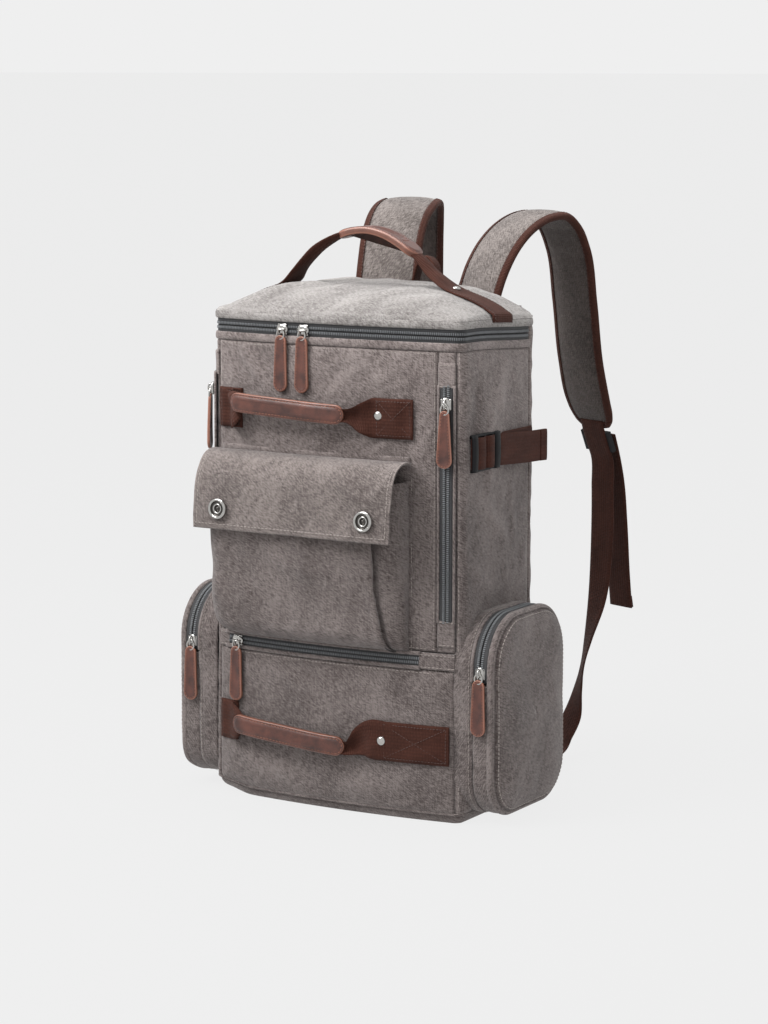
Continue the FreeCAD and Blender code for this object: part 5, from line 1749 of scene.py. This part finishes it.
def make_long_webbing(name, side, body):
    """Webbing from a strap's lock down to its lower anchor, half turned on its way."""
    fall = [(153, 351, 0), (157, 338, 0), (162.5, 324, 0), (168, 312, 0), (169.5, 280, 0), (169.5, 225, 0),
            (163, 162, 0.25), (151, 122, 0.8), (144, 98, 1), (138, 74, 0.75), (129, 45, 0.2), (112, 24, 0)]
    twisted = np.array([side * 8.2, -13.7, 0])
    flat = np.array(harness_edge(WEB_HALF, side))
    stations = [(harness(far, up, side), flat * (1 - turn) + twisted * turn) for far, up, turn in fall]
    stations += [((side * 98, 165, 17), (side * 15, -4, 0)), ((side * 104, 122, 17), (side * 13, 0, 0)),
                 ((side * 106, 92, 27), (side * 9, 0, 0))]
    web = Piece()
    add_strap(web, stations, 2, 3)
    web.make("long_webbing_" + name, WEB, body, ["strap_webbing_" + name], "webbing")


def make_loose_end(name, side):
    """Free end of a strap's webbing, with its hem."""
    tail = Piece()
    fall = [(171, 336), (175, 324), (184, 290), (190, 240), (194, 190), (198, 153)]
    for path in (fall, [(197.3, 166), (199.6, 154)]):
        add_strap(tail, [(harness(*place, side), harness_edge(WEB_HALF, side)) for place in path], 2, 3)
    tail.make("loose_end_" + name, WEB, "strap_tail_" + name, ["strap_tail_" + name], "webbing")


def make_shoulder_strap(name, side):
    """Padded shoulder strap, the webbing below it, and its ladder lock."""
    body = "shoulder_strap_" + name
    make_pad(name, side, body)
    make_long_webbing(name, side, body)
    make_loose_end(name, side)
    finish_cad_node(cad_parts["strap_lock_" + name], PLASTIC, 0.7)


def make_strap_roots():
    """Sewn roots of the shoulder straps, at the top of the back."""
    roots = Piece()
    rows = Piece()
    for side in (1, -1):
        stations = [((side * 46, 86.2, 378), (side * 25, 0, 0)), ((side * 47, 86.4, 427), (side * 25, 0, 0)),
                    ((side * 48, 91.5, 441), (side * 23, 0, 0))]
        add_strap(roots, stations, 3.4, 2)
        for z in (381, 390, 420):
            row = np.array([(side * 46 + t, 88.2, z) for t in np.linspace(-22, 22, 12)])
            add_stitches(rows, row, REARWARD, 3.4, 2.5, 0.36)
    roots.make("strap_root_patches", PAD_CANVAS, "pack", ["strap_roots"], "webbing")
    rows.make("strap_root_stitches", BROWN_THREAD, "pack", slot="webbing")


def make_anchor_tabs():
    """Canvas tabs that hold the straps' lower ends."""
    tabs = Piece()
    for side in (1, -1):
        route = ((100, 76.6, 13, 19), (103, 77.0, 31, 10.5), (104, 82, 34, 9.6), (105, 89.5, 30, 9.4))
        add_strap(tabs, [((side * x, y, z), (side * half, 0, 0)) for x, y, z, half in route], 2.4, 1.6)
    tabs.make("strap_anchor_tabs", CANVAS, "pack", ["strap_anchors"], "canvas")


def rounded_box(width, height, radius, inset, count=10):
    """Rounded rectangle as (x, z) points about its middle."""
    radius = max(radius - inset, 2)
    w, h = width / 2 - inset - radius, height / 2 - inset - radius
    points = []
    for cx, cz, start in ((w, -h, -90), (w, h, 0), (-w, h, 90), (-w, -h, 180)):
        for angle in np.radians(start + np.linspace(0, 90, count)):
            points.append((cx + radius * math.cos(angle), cz + radius * math.sin(angle)))
    return np.array(points)


def back_cushion():
    """Back cushion of padded mesh, puffed by cloth pressure, then sewn down in channels."""
    width, height, middle = 228, 386, 234
    rings = []
    for inset, depth in ((0, 76.2), (0, 78), (1.5, 81), (5, 82.8), (12, 83.6), (30, 83.8)):
        flat = rounded_box(width, height, 24, inset)
        rings.append(np.stack([flat[:, 0], np.full(len(flat), depth), flat[:, 1] + middle], -1))
    shape = Piece()
    add_loft(shape, np.array(rings))
    pad = shape.make("back_cushion", MESH)
    remesh = pad.modifiers.new("even", "REMESH")
    remesh.mode = "VOXEL"
    remesh.voxel_size = 0.005
    bake(pad)
    puff(pad, 4.0, 0.006)
    co = np.empty(len(pad.data.vertices) * 3, np.float32)
    pad.data.vertices.foreach_get("co", co)
    co = co.reshape(-1, 3).astype(float) / MM
    x, z = co[:, 0], co[:, 2]
    outside = ease((co[:, 1] - 78) / 4)
    channels = bell(x / 5) + bell((z - 130) / 5) + bell((z - 330) / 5)
    channels = np.clip(channels, 0, 1) * ease((np.minimum(112 - np.abs(x), 190 - np.abs(z - middle))) / 14)
    co[:, 1] -= outside * (3.0 * channels)
    co[:, 1] = np.maximum(co[:, 1], 75.6)
    pad.data.vertices.foreach_set("co", (co * MM).astype(np.float32).ravel())
    pad.data.update()
    smooth = pad.modifiers.new("finer", "SUBSURF")
    smooth.levels = smooth.render_levels = 1
    bake(pad)
    pad.data.polygons.foreach_set("use_smooth", [True] * len(pad.data.polygons))
    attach(pad, "pack")
    welt = Piece()
    flat = rounded_box(width + 3, height + 3, 25, 0, 16)
    line = np.stack([flat[:, 0], np.full(len(flat), 77.0), flat[:, 1] + middle], -1)
    add_tube(welt, line, 2.0, 10, closed=True)
    welt.make("back_piping", WEB, "pack", slot="webbing")
    return pad


def bake(obj):
    """Applies an object's modifiers to its mesh."""
    graph = bpy.context.evaluated_depsgraph_get()
    mesh = bpy.data.meshes.new_from_object(obj.evaluated_get(graph))
    obj.modifiers.clear()
    obj.data = mesh


def puff(obj, pressure, cap):
    """Swells a closed pad by cloth pressure, moving no point more than cap metres."""
    rest = np.array([v.co for v in obj.data.vertices])
    cloth = obj.modifiers.new("cloth", "CLOTH")
    cloth.settings.use_pressure = True
    cloth.settings.uniform_pressure_force = pressure
    cloth.settings.effector_weights.gravity = 0
    for number in range(1, 21):
        bpy.context.scene.frame_set(number)
    graph = bpy.context.evaluated_depsgraph_get()
    now = np.array([v.co for v in obj.evaluated_get(graph).data.vertices])
    obj.modifiers.clear()
    bpy.context.scene.frame_set(1)
    move = now - rest
    far = np.linalg.norm(move, axis=1, keepdims=True)
    now = rest + move * np.minimum(1, cap / np.maximum(far, 1e-9))
    obj.data.vertices.foreach_set("co", now.astype(np.float32).ravel())
    obj.data.update()


def make_inside():
    """Divider of the sleeve inside, with a bound top edge."""
    x, z = np.meshgrid(np.linspace(-124, 124, 60), np.linspace(14, 374, 80))
    y = 45.6 + 0.7 * ripple(x, z, 90, 131)
    outer = np.stack([x, y, z], -1)
    piece = add_sheet(Piece(), outer, outer + np.array([0, 2.6, 0]), np.stack([x, z], -1))
    piece.make("sleeve_panel", LINING, "pack", ["sleeve_divider"], "lining")
    edge = Piece()
    line = np.stack([np.linspace(-124, 124, 60), np.full(60, 46.9), np.full(60, 373.5)], -1)
    add_sweep(edge, line, steady(UP, line), steady(-REARWARD, line),
              round_section(5, 2.4, 12))
    edge.make("sleeve_binding", WEB, "pack", slot="lining")
    finish_cad_node(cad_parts["base_board"], PLASTIC, 0.5)
    finish_cad_node(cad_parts["snap_studs"], NICKEL, 0.3)


def make_lid_hinge():
    """Cloth that joins the lid to the back panel."""
    x = np.linspace(-119, 119, 90)
    z = np.linspace(466, 486, 14)
    xs, zs = np.meshgrid(x, z)
    lean = ease((zs - 478) / 10)
    y = HALF_DEPTH + 0.8 + settle(zs) * (1 - ease((zs - 468) / 8)) - 1.6 * lean
    y = y + 0.3 * ripple(xs, zs, 22, 141)
    outer = np.stack([-xs, y, zs], -1)
    piece = add_sheet(Piece(), outer, outer - np.array([0, 1.6, 0]), np.stack([xs, zs], -1))
    strip = piece.make("lid_hinge_cloth", CANVAS, None, slot="canvas")
    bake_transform(strip)


# ------------------------------------------------------------------ studio

CAMERA_AZIMUTH = 30.75
CAMERA_ELEVATION = 8.54
CAMERA_DISTANCE = 2.888
CAMERA_LENS = 104.92
AIM_RIGHT = 0.0085
AIM_HEIGHT = 0.2806
FLOOR_HALF = 200000


def make_studio():
    """Camera at the picture's angle, pale floor and soft light."""
    scene = bpy.context.scene
    azimuth, elevation = math.radians(CAMERA_AZIMUTH), math.radians(CAMERA_ELEVATION)
    right = Vector((math.cos(azimuth), math.sin(azimuth), 0))
    back = Vector((math.sin(azimuth) * math.cos(elevation), -math.cos(azimuth) * math.cos(elevation),
                   math.sin(elevation)))
    camera = bpy.data.cameras.new("camera")
    camera.lens = CAMERA_LENS
    camera.sensor_width = 36
    camera.clip_start = 0.05
    camera.clip_end = 400
    eye = bpy.data.objects.new("camera", camera)
    eye.location = right * AIM_RIGHT + Vector((0, 0, AIM_HEIGHT)) + back * CAMERA_DISTANCE
    eye.rotation_mode = "QUATERNION"
    eye.rotation_quaternion = (-back).to_track_quat("-Z", "Y")
    scene.collection.objects.link(eye)
    scene.camera = eye
    scene.view_settings.view_transform = "Standard"
    pale = srgb(239, 239, 239)
    world = bpy.data.worlds.new("studio")
    world.use_nodes = True
    world.node_tree.nodes["Background"].inputs["Color"].default_value = pale
    scene.world = world
    add_lamp("key", "AREA", (-0.8, -1.25, 1.75), (0, 0, 0.38), 44, 0.9)
    add_lamp("top", "AREA", (-0.1, -0.1, 2.2), (0, 0, 0.4), 30, 1.1)
    floor = Piece()
    floor.add([(x * FLOOR_HALF, y * FLOOR_HALF, 0) for x, y in ((-1, -1), (1, -1), (1, 1), (-1, 1))],
              [(0, 1, 2, 3)])
    floor.make("floor", floor_finish(pale))


def add_lamp(name, kind, place, aim, power, size):
    """A soft lamp at a place, turned to what it lights."""
    lamp = bpy.data.lights.new(name, kind)
    lamp.energy = power
    lamp.size = size
    obj = bpy.data.objects.new(name, lamp)
    obj.location = place
    obj.rotation_mode = "QUATERNION"
    obj.rotation_quaternion = (Vector(aim) - Vector(place)).to_track_quat("-Z", "Y")
    bpy.context.scene.collection.objects.link(obj)


def floor_finish(pale):
    """Pale floor as bright as the backdrop, with a faint soft shadow."""
    material = bpy.data.materials.new("pale_floor")
    material.use_nodes = True
    tree = material.node_tree
    tree.nodes.clear()
    glow = node(tree, "Emission", Color=pale, Strength=0.949)
    matt = node(tree, "BsdfDiffuse", Color=(0.02, 0.02, 0.02, 1))
    both = node(tree, "AddShader", in0=glow.outputs[0], in1=matt.outputs[0])
    node(tree, "OutputMaterial", Surface=both.outputs[0])
    return material


# ------------------------------------------------------------------ everything

make_panels()
stitch_seams()
make_base()
make_bottom_welt()
make_lid()
make_main_zip()
make_wall_zips()
make_flap_pocket()
make_flap()
make_flap_seam()
make_snaps()
for pocket_side, pocket_name in ((1, "right"), (-1, "left")):
    make_side_pocket(pocket_side, pocket_name)
make_sliders()
make_front_handle("upper_handle", 389, 384, 3, (-128, -100), 89.5, (54, 386))
make_front_handle("lower_handle", 75, 79, 5, (-127, -104), 128, (60, 79))
make_top_handle()
make_hang_loop()
make_compression_straps()
for strap_side, strap_name in ((1, "right"), (-1, "left")):
    make_shoulder_strap(strap_name, strap_side)
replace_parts(back_cushion(), "back_pad")
make_strap_roots()
make_anchor_tabs()
make_inside()
make_lid_hinge()
for row_body, row_piece in grey_rows.items():
    row_piece.make("seam_stitches_" + row_body, GREY_THREAD, row_body, slot="canvas")
make_studio()
